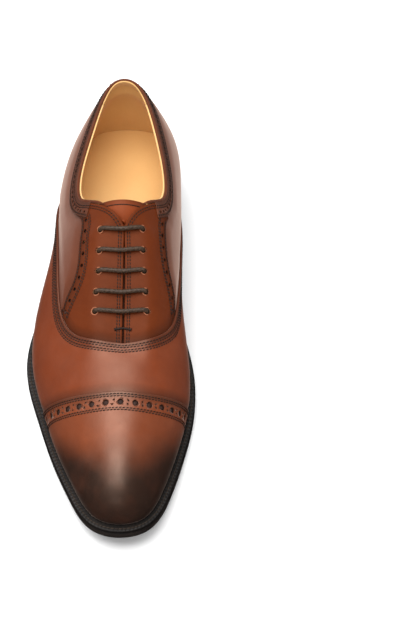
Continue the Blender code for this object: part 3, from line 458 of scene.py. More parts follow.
def joined(first, second, split):
    """One curve of 0..1 that is the first up to the split and the second after it."""

    def at(x):
        x = np.asarray(x, float)[..., None]
        one = first(np.clip(x[..., 0] / split, 0, 1))
        two = second(np.clip((x[..., 0] - split) / (1 - split), 0, 1))
        return np.where(x <= split, one, two)

    return at


def coons(left, right, low, high, across, upwards):
    """Grid of (a, w) inside four curves: low and high run across, left and right run upwards."""
    s = np.asarray(across, float)[:, None, None]
    u = np.asarray(upwards, float)[None, :, None]
    rows = (1 - u) * low(s[:, 0, 0])[:, None] + u * high(s[:, 0, 0])[:, None]
    columns = (1 - s) * left(u[0, :, 0])[None] + s * right(u[0, :, 0])[None]
    corners = [curve(np.array([end]))[:, None] for curve in (low, high) for end in (0.0, 1.0)]
    low_ends = (1 - s) * corners[0] + s * corners[1]
    high_ends = (1 - s) * corners[2] + s * corners[3]
    return rows + columns - (1 - u) * low_ends - u * high_ends


def smooth(x):
    x = np.clip(x, 0, 1)
    return x * x * (3 - 2 * x)


# Grids over the upper.
def fan(start, end, count):
    """Values from start to end, closer together towards an end of the shoe."""
    x = np.linspace(0, 1, count)
    if end >= 1:
        x = np.sin(x * math.pi / 2)
    if start <= 0:
        x = 1 - np.cos(x * math.pi / 2)
    return start + x * (end - start)


def at(a, v, side):
    """One (a, w) point on a side."""
    return (a, v if side < 0 else 2 - v)


def topline_at(side, start, end):
    def curve(x):
        a = start + np.asarray(x, float) * (end - start)
        return sided(a, topline(a), side)

    return curve


def share_of(points, corner):
    """How far along its curve one of the points lies."""
    p = np.array(points, float)
    span = np.linalg.norm(np.diff(p * SPACING, axis=0), axis=1)
    return span[: points.index(corner)].sum() / span.sum()


def top_seam_points(side):
    return [(BACKSTAY, 0.679)] + COLLAR_LOW[1:-1] + FACING_EDGE[side]


def line_of(curve, count=160):
    return curve(np.linspace(0, 1, count))


def on_wall(line):
    return wall(line[:, 0], np.clip(line[:, 1], 0, 2))


def distance(points, line):
    """Millimetres from each (a, w) point to a line of (a, w) points."""
    p = wall(points[..., 0], np.clip(points[..., 1], 0, 2))
    q = on_wall(line)
    flat = p.reshape(-1, 3)
    start, step = q[:-1], np.diff(q, axis=0)
    length = np.maximum((step**2).sum(1), 1e-9)
    best = np.full(len(flat), 1e9)
    for k in range(len(step)):
        along = np.clip(((flat - start[k]) @ step[k]) / length[k], 0, 1)
        gap = flat - start[k] - along[:, None] * step[k]
        best = np.minimum(best, (gap**2).sum(1))
    return np.sqrt(best).reshape(p.shape[:-1])


def slopes(a, w):
    """How the wall's point changes with a and with w, for points on one side."""
    h = 1e-3
    w = np.clip(w, h, 1 - h) if w.mean() < 1 else np.clip(w, 1 + h, 2 - h)
    a = np.clip(a, h, 1 - h)
    return (wall(a + h, w) - wall(a - h, w)) / (2 * h), (wall(a, w + h) - wall(a, w - h)) / (2 * h)


def offset(line, mm, towards):
    """A line of (a, w) points moved over the surface, away from the points in towards."""
    by_a, by_w = slopes(line[:, 0], line[:, 1])
    run = np.gradient(line, axis=0)
    run = run[:, :1] * by_a + run[:, 1:] * by_w
    inward = towards - line
    inward = inward[:, :1] * by_a + inward[:, 1:] * by_w
    square = np.cross(run, np.cross(by_a, by_w))
    square /= np.maximum(np.linalg.norm(square, axis=1), 1e-9)[:, None]
    square *= -np.sign((square * inward).sum(1) + 1e-12)[:, None] * np.reshape(mm, (-1, 1))
    aa, aw, ww = (by_a**2).sum(1), (by_a * by_w).sum(1), (by_w**2).sum(1)
    along_a, along_w = (square * by_a).sum(1), (square * by_w).sum(1)
    flat = aa * ww - aw**2
    step = np.stack([ww * along_a - aw * along_w, aa * along_w - aw * along_a], -1) / flat[:, None]
    return line + step


def grow(grid, depth, axis, end, steps, gate=None):
    """The grid with lines added past one border: steps are (millimetres past it, extra depth)."""
    g = np.moveaxis(grid, axis, 0)
    d = np.moveaxis(depth, axis, 0)
    if end:
        g, d = g[::-1], d[::-1]
    gate = np.ones(g.shape[1]) if gate is None else gate
    lines, depths = [], []
    for mm, extra in steps:
        lines.append(offset(g[0], mm * gate, g[1]))
        depths.append(d[0] + extra * gate)
    g = np.concatenate([np.array(lines[::-1]), g])
    d = np.concatenate([np.array(depths[::-1]), d])
    if end:
        g, d = g[::-1], d[::-1]
    return np.moveaxis(g, 0, axis), np.moveaxis(d, 0, axis)


def finer(values, parts):
    """Each stretch between neighbouring values cut into equal parts."""
    x = np.arange(len(values))
    return np.interp(np.linspace(0, len(values) - 1, (len(values) - 1) * parts + 1), x, values)


# The seam lines, as (a, w) polylines.
cap_line = {s: curve_through(CAP_LINE, s) for s in SIDES}
vamp_line = {s: curve_through(VAMP_SEAM[s], s) for s in SIDES}
cap_poly = np.concatenate([line_of(cap_line[-1]), line_of(cap_line[1])[::-1]])
vamp_poly = {s: line_of(vamp_line[s]) for s in SIDES}
top_seam = {s: curve_through(top_seam_points(s), s) for s in SIDES}
corner_share = {s: share_of(top_seam_points(s), FACING_EDGE[s][0]) for s in SIDES}
facing_outer = {s: part_of(top_seam[s], corner_share[s], 1) for s in SIDES}
collar_low = {s: part_of(top_seam[s], 0, corner_share[s]) for s in SIDES}
collar_edge = {s: curve_through([COLLAR_START] + COLLAR_LOW[1:-2] + COLLAR_TAB[s], s) for s in SIDES}


def seam_share(side):
    """Where the facing's front tip lies on the mirrored vamp line."""
    x = np.linspace(0, 1, 400)
    goal = np.array(at(*FACING_EDGE[side][-1], side))
    return x[np.argmin(np.linalg.norm((vamp_line[side](x) - goal) * SPACING, axis=1))]


def sag(points):
    """How far the lacing pulls the instep under the last's ridge, from the slit's top to the throat."""
    a, w = points[..., 0], points[..., 1]
    v = np.minimum(w, 2 - w)
    flat = LACED_FLAT * smooth((v - 0.80) / 0.2) - LACED_FULL * np.exp(-(((v - 0.78) / 0.09) ** 2))
    return flat * smooth((a - 0.425) / 0.035) * smooth((0.74 - a) / 0.06)


# How deep each piece's outer face lies under the last's outside. Every function takes a side.
def depth_cap(points, side):
    return -RISE * smooth(1 - distance(points, cap_poly) / RISE_REACH)


def depth_vamp(points, side):
    over = RISE * smooth(1 - distance(points, vamp_poly[side]) / RISE_REACH)
    under = SINK * smooth(1 - distance(points, cap_poly) / SINK_REACH)
    v = height_on(points, side)
    return -over + under * smooth(v / 0.06) + sag(points)


def depth_quarter(points, side):
    v = height_on(points, side)
    edge = vamp_poly[side][: int(len(vamp_poly[side]) * seam_share(side)) + 1]
    under = smooth(1 - distance(points, edge) / SINK_REACH) * smooth(v / 0.08)
    above = smooth(1 - distance(points, line_of(top_seam[side])) / SINK_REACH)
    return SINK * np.maximum(under, above)


def depth_facing(points, side):
    under = SINK * smooth(1 - distance(points, vamp_poly[side]) / SINK_REACH)
    over = RISE * smooth(1 - distance(points, line_of(facing_outer[side])) / RISE_REACH)
    return under - over * (1 - under / SINK) + sag(points)


def depth_collar(points, side):
    over = RISE * smooth(1 - distance(points, line_of(collar_low[side])) / RISE_REACH)
    return -over - 0.85 * smooth((points[..., 0] - 0.374) / 0.012)


def depth_backstay(points, side):
    return np.full(points.shape[:-1], -BACKSTAY_RISE)


def lining_depth(grid, side):
    """The lining lies close under the outside along the topline and the facing, and deeper below."""
    slit = line_between(at(SLIT_TOP, SLIT, side), at(THROAT, SLIT, side))
    rim = np.concatenate([line_of(topline_at(side, 0, SLIT_TOP), 60), line_of(slit, 30)])
    start = np.interp(grid[..., 0], [0.25, 0.40], [5, 24])
    deeper = smooth((distance(grid, rim) - start) / 9)
    depth = LINING_EDGE_DEPTH + (LINING_DEPTH - LINING_EDGE_DEPTH) * deeper
    under_vamp = LINING_EDGE_DEPTH + 2.5 * smooth(1 - distance(grid, vamp_poly[side]) / 13)
    a, v = grid[..., 0], np.minimum(grid[..., 1], 2 - grid[..., 1])
    cup = HEEL_CUP * smooth((0.16 - a) / 0.15) * smooth((0.55 - v) / 0.4)
    return np.maximum(depth, under_vamp) + sag(grid) + cup


# Burnish: how dark the leather is polished, from 0 to 1.
def burnish(points):
    a, w = points[..., 0], np.clip(points[..., 1], 0, 2)
    p = wall(a, w)
    t, v = p[..., 1], np.minimum(w, 2 - w)
    toe = 0.97 * smooth((t - 251 + 30 * smooth(1 - v / 0.75)) / 36)
    sides = 0.4 * smooth((t - 205) / 45) * smooth(1 - v / 0.55)
    heel = 0.5 * smooth((34 - t) / 30) * smooth(1 - v / 0.5)
    foot = 0.55 * smooth(1 - v / 0.16)
    return np.clip(np.maximum.reduce([toe, sides, heel, foot]), 0, 1)


# Materials.
def linear(*rgb):
    return [((c / 255 + 0.055) / 1.055) ** 2.4 for c in rgb] + [1]


class Nodes:
    """Short calls to build one material's node tree."""

    def __init__(self, name):
        self.material = bpy.data.materials.new(name)
        self.material.use_nodes = True
        self.tree = self.material.node_tree
        self.shader = self.tree.nodes["Principled BSDF"]
        self.where = self.add("ShaderNodeTexCoord").outputs["Object"]

    def add(self, kind, **values):
        node = self.tree.nodes.new(kind)
        for key, value in values.items():
            setattr(node, key, value)
        return node

    def put(self, node, socket, value):
        if isinstance(value, bpy.types.NodeSocket):
            self.tree.links.new(value, node.inputs[socket])
        else:
            node.inputs[socket].default_value = value

    def set(self, **values):
        for key, value in values.items():
            self.put(self.shader, key.replace("_", " "), value)

    def noise(self, scale, detail=3.0, rough=0.55, stretch=None):
        node = self.add("ShaderNodeTexNoise")
        self.put(node, "Vector", self.scaled(stretch) if stretch else self.where)
        self.put(node, "Scale", scale)
        self.put(node, "Detail", detail)
        self.put(node, "Roughness", rough)
        return node.outputs["Fac"]

    def scaled(self, stretch):
        node = self.add("ShaderNodeMapping")
        self.put(node, "Vector", self.where)
        self.put(node, "Scale", stretch)
        return node.outputs["Vector"]

    def cells(self, scale):
        node = self.add("ShaderNodeTexVoronoi")
        self.put(node, "Vector", self.where)
        self.put(node, "Scale", scale)
        return node.outputs["Distance"]

    def attribute(self, name):
        return self.add("ShaderNodeAttribute", attribute_name=name).outputs["Fac"]

    def math(self, operation, a, b=0.0, clamp=False):
        node = self.add("ShaderNodeMath", operation=operation, use_clamp=clamp)
        self.put(node, 0, a)
        self.put(node, 1, b)
        return node.outputs[0]

    def range(self, value, low, high, to_low=0.0, to_high=1.0):
        node = self.add("ShaderNodeMapRange", clamp=True)
        for socket, item in enumerate((value, low, high, to_low, to_high)):
            self.put(node, socket, item)
        return node.outputs[0]

    def mix(self, share, a, b):
        node = self.add("ShaderNodeMix", data_type="RGBA")
        self.put(node, 0, share)
        self.put(node, 6, a)
        self.put(node, 7, b)
        return node.outputs[2]

    def bump(self, height, strength, mm, under=None):
        node = self.add("ShaderNodeBump")
        self.put(node, "Strength", strength)
        self.put(node, "Distance", mm * MM)
        self.put(node, "Height", height)
        if under is not None:
            self.put(node, "Normal", under)
        return node.outputs["Normal"]


def leather(name, light, dark, rough, rows=(), burnish_and_shade_colour=(42, 25, 18), coat=0.0, shine=0.26, veil=0.0,
            shade=0.55, bloom=0.42):
    """Burnished, polished calf leather: patchy dye, fine grain, darkened edges and seams.

    rows are millimetres from the piece's edge to the stitch rows, which pull the leather in, and along
    which the colour is darkened as painted shade. veil and bloom are the strength and width of a pale
    sheen, and shade how dark the seams are.
    """
    n = Nodes(name)
    patches = n.range(n.noise(26, 4, 0.6), 0.3, 0.7)
    mottle = n.range(n.noise(260, 3, 0.6), 0.35, 0.65)
    colour = n.mix(n.math("MULTIPLY", patches, 0.55), linear(*light), linear(*dark))
    colour = n.mix(n.math("MULTIPLY", mottle, 0.16), colour, linear(*dark))
    # This attribute holds the burnish, and on the tongue painted shade under the slit.
    burnish_and_shade = n.attribute("burnish_and_shade")
    polish_and_shade = n.math("ADD", burnish_and_shade, n.range(n.noise(55, 3, 0.6), 0.3, 0.7, -0.10, 0.10), clamp=True)
    polish_and_shade = n.math("MULTIPLY", polish_and_shade, n.range(burnish_and_shade, 0.0, 0.08), clamp=True)
    colour = n.mix(polish_and_shade, colour, linear(*burnish_and_shade_colour))
    near = n.range(n.attribute("seam"), 0.2, 6.5, shade, 0.0)
    colour = n.mix(near, colour, linear(*burnish_and_shade_colour))
    pores = n.range(n.cells(1500), 0.0, 0.5)
    fine = n.noise(900, 4, 0.65)
    height = n.math("ADD", n.math("MULTIPLY", pores, 0.35), n.math("MULTIPLY", fine, 0.65))
    normal = n.bump(height, 0.10, 0.16)
    soft = n.bump(n.noise(120, 3, 0.5), 0.10, 0.9, normal)
    height = None
    for mm in rows:
        gap = n.math("ABSOLUTE", n.math("SUBTRACT", n.attribute("edge"), mm))
        groove = n.range(gap, 0.1, 0.85, 1.0, 0.0)
        height = groove if height is None else n.math("ADD", height, groove)
    if height is not None:
        soft = n.bump(n.math("MULTIPLY", height, -1.0), 0.7, 0.22, soft)
        # Painted shade: the colour is darkened along each stitch row's groove, as the shade in the
        # recess.
        colour = n.mix(n.math("MULTIPLY", height, 0.35, clamp=True), colour, linear(*burnish_and_shade_colour))
    n.set(Base_Color=colour, Normal=soft, Specular_IOR_Level=shine)
    n.set(Specular_Tint=linear(255, 214, 190), Sheen_Weight=veil, Sheen_Roughness=bloom)
    n.set(Sheen_Tint=linear(255, 226, 210))
    n.set(Roughness=n.range(n.noise(90, 3, 0.6), 0.3, 0.7, rough - 0.05, rough + 0.07))
    n.set(Coat_Weight=coat, Coat_Roughness=0.22)
    return n.material


def lining_leather(name, light, dark):
    n = Nodes(name)
    patches = n.range(n.noise(30, 3, 0.55), 0.3, 0.7)
    colour = n.mix(n.math("MULTIPLY", patches, 0.35), linear(*light), linear(*dark))
    specks = n.range(n.noise(700, 3, 0.6), 0.42, 0.62)
    colour = n.mix(n.math("MULTIPLY", specks, 0.10), colour, linear(*dark))
    normal = n.bump(n.noise(800, 4, 0.6), 0.16, 0.15)
    n.set(Base_Color=colour, Normal=normal, Roughness=n.range(n.noise(60), 0.3, 0.7, 0.5, 0.62))
    n.set(Specular_IOR_Level=0.4, Sheen_Weight=0.15, Sheen_Roughness=0.5)
    return n.material


def waxed(name, light, dark, rough):
    """Waxed or braided thread and cord."""
    n = Nodes(name)
    fibre = n.range(n.noise(900, 4, 0.65), 0.3, 0.7)
    n.set(Base_Color=n.mix(fibre, linear(*dark), linear(*light)), Roughness=rough)
    n.set(Normal=n.bump(n.noise(1800, 3, 0.6), 0.35, 0.12), Specular_IOR_Level=0.3)
    return n.material


def edge_leather(name, light, dark, rough):
    """Waxed sole leather seen at its cut edge, with streaks along it."""
    n = Nodes(name)
    patches = n.range(n.noise(40, 4, 0.6), 0.3, 0.7)
    colour = n.mix(patches, linear(*light), linear(*dark))
    streaks = n.noise(60, 4, 0.6, stretch=(1, 1, 24))
    colour = n.mix(n.range(streaks, 0.45, 0.7, 0.0, 0.45), colour, linear(*dark))
    normal = n.bump(n.noise(60, 4, 0.65, stretch=(1, 1, 24)), 0.25, 0.25)
    normal = n.bump(n.noise(1200, 3, 0.6), 0.12, 0.1, normal)
    n.set(Base_Color=colour, Normal=normal)
    n.set(Roughness=n.range(n.noise(80), 0.3, 0.7, rough - 0.06, rough + 0.08))
    n.set(Coat_Weight=0.06, Coat_Roughness=0.3, Specular_IOR_Level=0.3)
    return n.material


def plain(name, light, dark, rough, metallic=0.0):
    """Rubber, board, cork or metal with a little unevenness."""
    n = Nodes(name)
    share = n.range(n.noise(300, 4, 0.6), 0.3, 0.7)
    n.set(Base_Color=n.mix(share, linear(*light), linear(*dark)), Metallic=metallic)
    n.set(Roughness=n.range(n.noise(100), 0.3, 0.7, rough - 0.05, rough + 0.08))
    n.set(Normal=n.bump(n.noise(900, 3, 0.6), 0.2, 0.1))
    return n.material


# Objects.
def new_object(name, mesh, material, slot, body="shoe"):
    obj = bpy.data.objects.new(name, mesh)
    bpy.context.scene.collection.objects.link(obj)
    mesh.materials.append(material)
    mesh.shade_smooth()
    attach(obj, body)
    return obj


def raw_mesh(name, points, faces, values=None, weld=0.0):
    """A mesh from world points, with float attributes, and its doubled points made one."""
    mesh = bpy.data.meshes.new(name)
    mesh.from_pydata([tuple(p) for p in points], [], faces)
    for key, item in (values or {}).items():
        data = mesh.attributes.new(key, "FLOAT", "POINT").data
        data.foreach_set("value", np.asarray(item, np.float32))
    if weld:
        bm = bmesh.new()
        bm.from_mesh(mesh)
        bmesh.ops.remove_doubles(bm, verts=bm.verts, dist=weld)
        bmesh.ops.dissolve_degenerate(bm, edges=bm.edges, dist=SLIVER)
        bm.to_mesh(mesh)
        bm.free()
    mesh.update()
    return mesh


def circle(count):
    return np.linspace(0, 2 * math.pi, count, endpoint=False)


def ring_faces(rings, count, first=0):
    """Faces between neighbouring closed rings of points."""
    faces = []
    for low in range(first, first + (rings - 1) * count, count):
        for j in range(count):
            i = (j + 1) % count
            faces.append((low + j, low + i, low + count + i, low + count + j))
    return faces


def ring_caps(rings, count, first=0):
    last = first + (rings - 1) * count
    return [tuple(range(first, first + count))[::-1], tuple(range(last, last + count))]


def quads(rows, columns, first=0, flip=False):
    """Faces over a grid of points stored row by row."""
    i, j = np.meshgrid(np.arange(rows - 1), np.arange(columns - 1), indexing="ij")
    k = (first + i * columns + j).reshape(-1)
    faces = np.stack([k, k + columns, k + columns + 1, k + 1], 1)
    return (faces[:, ::-1] if flip else faces).tolist()


def even_looks(count, burnish_and_shade, seam):
    """The leather's attributes for a small piece, the same at all its points."""
    return {"burnish_and_shade": np.full(count, burnish_and_shade), "seam": np.full(count, seam), "edge": np.full(count, FAR)}


def thicken(obj, mm, inwards=True):
    solid = obj.modifiers.new("thickness", "SOLIDIFY")
    solid.thickness = mm * MM
    solid.offset = -1 if inwards else solid.offset


def sheet(node, patches, thickness, material, slot, seams=None):
    """A leather piece from patches of (side, grid, depth, margin depth), columns towards the ridge.

    seams gives each side's seam lines, the piece's own edge first.
    """
    points, faces, values = [], [], {"burnish_and_shade": [], "seam": [], "edge": []}
    count = 0
    for side, grid, depth, under in patches:
        points.append(to_world(layer(grid[..., 0], grid[..., 1], depth, under)).reshape(-1, 3))
        faces += quads(*grid.shape[:2], first=count, flip=side > 0)
        count += grid.shape[0] * grid.shape[1]
        flat = grid.reshape(-1, 2)
        values["burnish_and_shade"].append(burnish(flat))
        lines = (seams or {}).get(side, ())
        far = [distance(flat, line) for line in lines] or [np.full(len(flat), FAR)]
        values["edge"].append(far[0])
        values["seam"].append(np.minimum.reduce(far + [np.full(len(flat), FAR)]))
    values = {k: np.concatenate(v) for k, v in values.items()}
    mesh = raw_mesh(node + "_leather", np.concatenate(points), faces, values, weld=WELD)
    obj = new_object(node + "_leather", mesh, material, slot)
    thicken(obj, thickness)
    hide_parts(node)
    return obj


def tube(path, radius, segments=14, relief=None):
    """A closed round tube along world points; radius in millimetres, one for all or one each."""
    path = np.asarray(path, float)
    radius = np.broadcast_to(np.asarray(radius, float), len(path)) * MM
    run = unit(np.gradient(path, axis=0))
    side = np.cross(run[0], [0.0, 0.0, 1.0])
    turns = circle(segments)
    along = lengths(path)
    points = []
    for k, centre in enumerate(path):
        side = unit(side - (side @ run[k]) * run[k])
        other = np.cross(run[k], side)
        r = radius[k] * (relief(along[k] / MM, turns) if relief else np.ones(segments))
        ring = (np.cos(turns) * r)[:, None] * side + (np.sin(turns) * r)[:, None] * other
        points.append(centre + ring)
    faces = ring_faces(len(path), segments) + ring_caps(len(path), segments)
    return np.concatenate(points), [f[::-1] for f in faces]


def resample(line, pitch, start=0.0):
    """Points of the (a, w) line at a pitch in millimetres, from start to as much before its end."""
    p = on_wall(line)
    length = lengths(p)
    count = max(2, int(round((length[-1] - 2 * start) / pitch)) + 1)
    s = np.linspace(start, length[-1] - start, count)
    return np.stack([np.interp(s, length, line[:, 0]), np.interp(s, length, line[:, 1])], -1)


class Stitches:
    """Sewn rows of one thread, gathered into one mesh."""

    def __init__(self):
        self.points = []
        self.faces = []

    def capsule(self, centre, run, out, half, radius, slant):
        across = np.cross(run, out)
        run = run * math.cos(slant) + across * math.sin(slant)
        across = np.cross(run, out)
        ring = circle(CAPSULE_SIDES)
        spokes = np.cos(ring)[:, None] * across + np.sin(ring)[:, None] * out
        for along, r in CAPSULE:
            self.points.append(centre + run * along * half + radius * r * spokes)
        first = (len(self.points) - len(CAPSULE)) * CAPSULE_SIDES
        self.faces += ring_faces(len(CAPSULE), CAPSULE_SIDES, first)
        self.faces += ring_caps(len(CAPSULE), CAPSULE_SIDES, first)

    def row(self, line, depth, side):
        """A row over the leather along an (a, w) line. depth is the leather's depth function."""
        spots = resample(line, STITCH_PITCH)
        place = layer(spots[:, 0], spots[:, 1], depth(spots, side) - STITCH_LIFT)
        self.along(place, wall_normal(spots[:, 0], spots[:, 1]))

    def along(self, place, out, half=STITCH_HALF, radius=STITCH_R, slant=STITCH_SLANT, ends=True):
        """One stitch at each point of a row, with or without its two ends."""
        run = unit(np.gradient(place, axis=0))
        for c, r, o in list(zip(place, run, out))[None if ends else 1 : None if ends else -1]:
            self.capsule(c, r, unit(o - (o @ r) * r), half, radius, slant)

    def make(self, name, material, body="shoe"):
        points = to_world(np.concatenate(self.points))
        mesh = raw_mesh(name, points, [f[::-1] for f in self.faces])
        new_object(name, mesh, material, "waxed_cord", body)


def punch(obj, holes):
    """Cuts round holes of (a, w, radius) square through a piece of leather."""
    bm = bmesh.new()
    for a, w, radius in holes:
        out = wall_normal(a, w)
        direction = Vector((out[0], -out[1], out[2]))
        turn = direction.to_track_quat("Z", "Y").to_matrix().to_4x4()
        spot = Matrix.Translation(Vector(to_world(layer(a, w, 0.0)))) @ turn
        bmesh.ops.create_cone(bm, cap_ends=True, segments=20, radius1=radius * MM,
                              radius2=radius * MM, depth=5.0 * MM, matrix=spot)
    mesh = bpy.data.meshes.new("punches")
    bm.to_mesh(mesh)
    bm.free()
    cutter = bpy.data.objects.new("punches", mesh)
    bpy.context.scene.collection.objects.link(cutter)
    cut = obj.modifiers.new("holes", "BOOLEAN")
    cut.operation = "DIFFERENCE"
    cut.solver = "EXACT"
    cut.object = cutter
    freeze(obj)
    bpy.data.objects.remove(cutter, do_unlink=True)


def freeze(obj):
    """Turns the modified shape into the object's own mesh."""
    graph = bpy.context.evaluated_depsgraph_get()
    mesh = bpy.data.meshes.new_from_object(obj.evaluated_get(graph))
    obj.modifiers.clear()
    obj.data = mesh


# The upper's pieces.
def with_margin(side, grid, depth, under=None, reach=1.0, rows=slice(None)):
    """The patch and, below its first column, the margin that turns in under the foot."""
    v = np.linspace(-reach, 0, 4)
    a = np.repeat(grid[rows, :1, 0], 4, axis=1)
    w = np.broadcast_to(v if side < 0 else 2 - v, a.shape)
    below = np.repeat(np.broadcast_to(depth, grid.shape[:2])[rows, :1], 4, axis=1)
    return [(side, grid, depth, under), (side, np.stack([a, w], -1), below, under)]


def footed(grid, side):
    """Puts the first column on the feather edge."""
    grid[:, 0, 1] = 0 if side < 0 else 2


def ridged(made):
    """Brings the last columns of both sides together on the ridge."""
    shared = 0.5 * (made[-1][0][:, -1, 0] + made[1][0][:, -1, 0])
    deep = 0.5 * (made[-1][1][:, -1] + made[1][1][:, -1])
    for side in SIDES:
        made[side][0][:, -1] = np.stack([shared, np.ones_like(shared)], -1)
        made[side][1][:, -1] = deep


def toe_cap(material):
    made, patches = {}, []
    across = fan(0, 1, 36)
    for side in SIDES:
        foot, front = at(CAP_FOOT, 0, side), at(1, 0, side)
        top = tuple(cap_line[side](1.0))
        grid = coons(cap_line[side], line_between(front, (1, 1)), line_between(foot, front),
                     line_between(top, (1, 1)), across, np.linspace(0, 1, 40))
        made[side] = grow(grid, depth_cap(grid, side), 0, False, CURL)
        footed(made[side][0], side)
    ridged(made)
    for side in SIDES:
        patches += with_margin(side, *made[side])
    seams = {s: [cap_poly] for s in SIDES}
    return sheet("toe_cap", patches, UPPER_THICK, material, "burnished_leather", seams)


def vamp(material):
    made, patches = {}, []
    across = finer([0, 0.06, 0.12, 0.19, 0.27, 0.36, 0.46, 0.57, 0.69, 0.81, 0.92, 1], 4)
    along = finer([0, 0.07, 0.14, 0.24, 0.36, 0.48, 0.58, 0.66, 0.72, 0.78, 0.84, 0.9, 0.95, 1], 3)
    gate = smooth((along - 0.03) / 0.12)
    for side in SIDES:
        rear, front = vamp_line[side], cap_line[side]
        low = line_between(tuple(rear(0.0)), tuple(front(0.0)))
        middle = line_between(tuple(rear(1.0)), tuple(front(1.0)))
        grid = coons(rear, front, low, middle, across, along)
        grid, depth = grow(grid, depth_vamp(grid, side), 0, True, UNDER, gate)
        made[side] = grow(grid, depth, 0, False, CURL)
        footed(made[side][0], side)
    ridged(made)
    for side in SIDES:
        patches += with_margin(side, *made[side])
    seams = {s: (vamp_poly[s], cap_poly) for s in SIDES}
    return sheet("vamp", patches, UPPER_THICK, material, "tan_leather", seams)


def quarter(side, material):
    split, many = 0.3, 26
    rear = part_of(vamp_line[side], 0, seam_share(side))
    low = joined(line_between(at(0.5 * BACKSTAY, 0, side), at(WING, 0, side)), rear, split)
    across = np.concatenate([np.linspace(0, split, many), np.linspace(split, 0.985, 64)[1:]])
    rows = np.linspace(0, 1, 28)[None, :, None]
    grid = (1 - rows) * low(across)[:, None] + rows * top_seam[side](across)[:, None]
    gate = smooth((height_on(grid[:, 0], side) - 0.02) / 0.12)
    depth = depth_quarter(grid, side)
    grid, depth = grow(grid, depth, 1, False, UNDER, gate)
    grid, depth = grow(grid, depth, 1, True, SHORT_UNDER)
    patches = with_margin(side, grid, depth, rows=slice(0, many))
    seams = {side: (line_of(top_seam[side]), vamp_poly[side])}
    return sheet("quarter_" + NAMES[side], patches, UPPER_THICK, material, "brown_leather", seams)


def slit_line(side, x):
    x = np.asarray(x, float)
    v = SLIT + (VISIBLE_SLIT - SLIT) * smooth(x / 0.06)
    return sided(SLIT_TOP + x * (THROAT - SLIT_TOP), v, side)


def facing(side, material):
    corner = 0.14
    start_a = 0.3725
    outer = joined(line_between(at(start_a, topline(start_a), side), tuple(facing_outer[side](0.0))),
                   facing_outer[side], corner)
    slit = lambda x: slit_line(side, x)
    rear = pinned(part_of(vamp_line[side], seam_share(side) + 0.003, 0.99),
                  tuple(facing_outer[side](1.0)), tuple(slit(1.0)))
    across = np.concatenate([np.linspace(0, corner, 9), np.linspace(corner, 1, 60)[1:]])
    grid = coons(topline_at(side, start_a, SLIT_TOP), rear, outer, slit, across, np.linspace(0, 1, 34))
    grid, depth = grow(grid, depth_facing(grid, side), 0, True, UNDER)
    grid, depth = grow(grid, depth, 0, False, CURL)
    grid, depth = grow(grid, depth, 1, False, CURL)
    grid, depth = grow(grid, depth, 1, True, CURL)
    seams = {side: (line_of(facing_outer[side]), vamp_poly[side])}
    patches = [(side, grid, depth, None)]
    return sheet("facing_" + NAMES[side], patches, UPPER_THICK, material, "tan_leather", seams)


def collar_band(side, material):
    x = np.linspace(0, 1, 90)
    low = collar_edge[side](x)
    high = topline_at(side, COLLAR_START[0], COLLAR_TIP)(x)
    rows = np.linspace(0, 1, 14)[None, :, None]
    grid = (1 - rows) * low[:, None] + rows * high[:, None]
    grid, depth = grow(grid, depth_collar(grid, side), 0, True, CURL)
    grid, depth = grow(grid, depth, 1, False, CURL)
    grid, depth = grow(grid, depth, 1, True, [(0.8, 0.0)] + [(0.8 + mm, more) for mm, more in CURL])
    seams = {side: (line_of(collar_edge[side]), line_of(topline_at(side, 0, COLLAR_TIP)))}
    patches = [(side, grid, depth, None)]
    return sheet("collar_band_" + NAMES[side], patches, UPPER_THICK, material, "brown_leather", seams)


def backstay_a(v):
    """Half the strip's width as a, wider at its top."""
    half = np.interp(v, [0, 0.3, 0.74], [9.5, 8.8, 8.8])
    a = np.linspace(0.001, 0.09, 60)
    found = [np.interp(h, abs(wall(a, np.full(60, q))[:, 0] - AXIS_X), a) for h, q in zip(half, v)]
    return np.array(found)


def backstay(material):
    patches = []
    steps = np.linspace(0, 1, 12)
    v = np.linspace(0, 1, 30)
    lines = {}
    for side in SIDES:
        widest = backstay_a(v * topline(0.02))
        a = steps[:, None] * widest[None, :]
        grid = sided(a, v[None, :] * topline(a), side)
        lines[side] = grid[-1].copy()
        grid, depth = grow(grid, depth_backstay(grid, side), 0, True, CURL)
        footed(grid, side)
        patches += with_margin(side, grid, depth)
    seams = {s: [lines[s]] for s in SIDES}
    sheet("backstay", patches, UPPER_THICK, material, "brown_leather", seams)
    return lines


def lining_heel(material):
    patches = []
    a = fan(0, HEEL_LINING_A, 26)
    rows = np.linspace(0, 1, 36)[None, :, None]
    for side in SIDES:
        high, low = sided(a, topline(a), side), sided(a, np.zeros(len(a)), side)
        grid = (1 - rows) * low[:, None] + rows * high[:, None]
        grid, depth = grow(grid, lining_depth(grid, side), 1, True, LINING_RIM)
        patches += with_margin(side, grid, depth, MARGIN_UNDER, LINING_MARGIN)
    return sheet("lining_heel", patches, LINING, material, "lining_leather")


def lining_quarter(side, material):
    start = HEEL_LINING_A + 0.3 / PER_A
    split = 0.62
    slit = line_between(at(SLIT_TOP, SLIT, side), at(THROAT, SLIT, side))
    high = joined(topline_at(side, start, SLIT_TOP), slit, split)
    across = np.concatenate([np.linspace(0, split, 50), np.linspace(split, 1, 30)[1:]])
    low = line_between(at(start, 0, side), at(0.36, 0, side))
    left = line_between(at(start, 0, side), tuple(high(0.0)))
    right = curve_through(LINING_SEAM[:-1] + [(THROAT, SLIT)], side)
    grid = coons(left, right, low, high, across, np.linspace(0, 1, 30))
    gate = smooth((0.40 - grid[:, -1, 0]) / 0.02)
    grid, depth = grow(grid, lining_depth(grid, side), 1, True, LINING_RIM, gate)
    patches = with_margin(side, grid, depth, MARGIN_UNDER, LINING_MARGIN)
    return sheet("lining_quarter_" + NAMES[side], patches, LINING, material, "lining_leather")


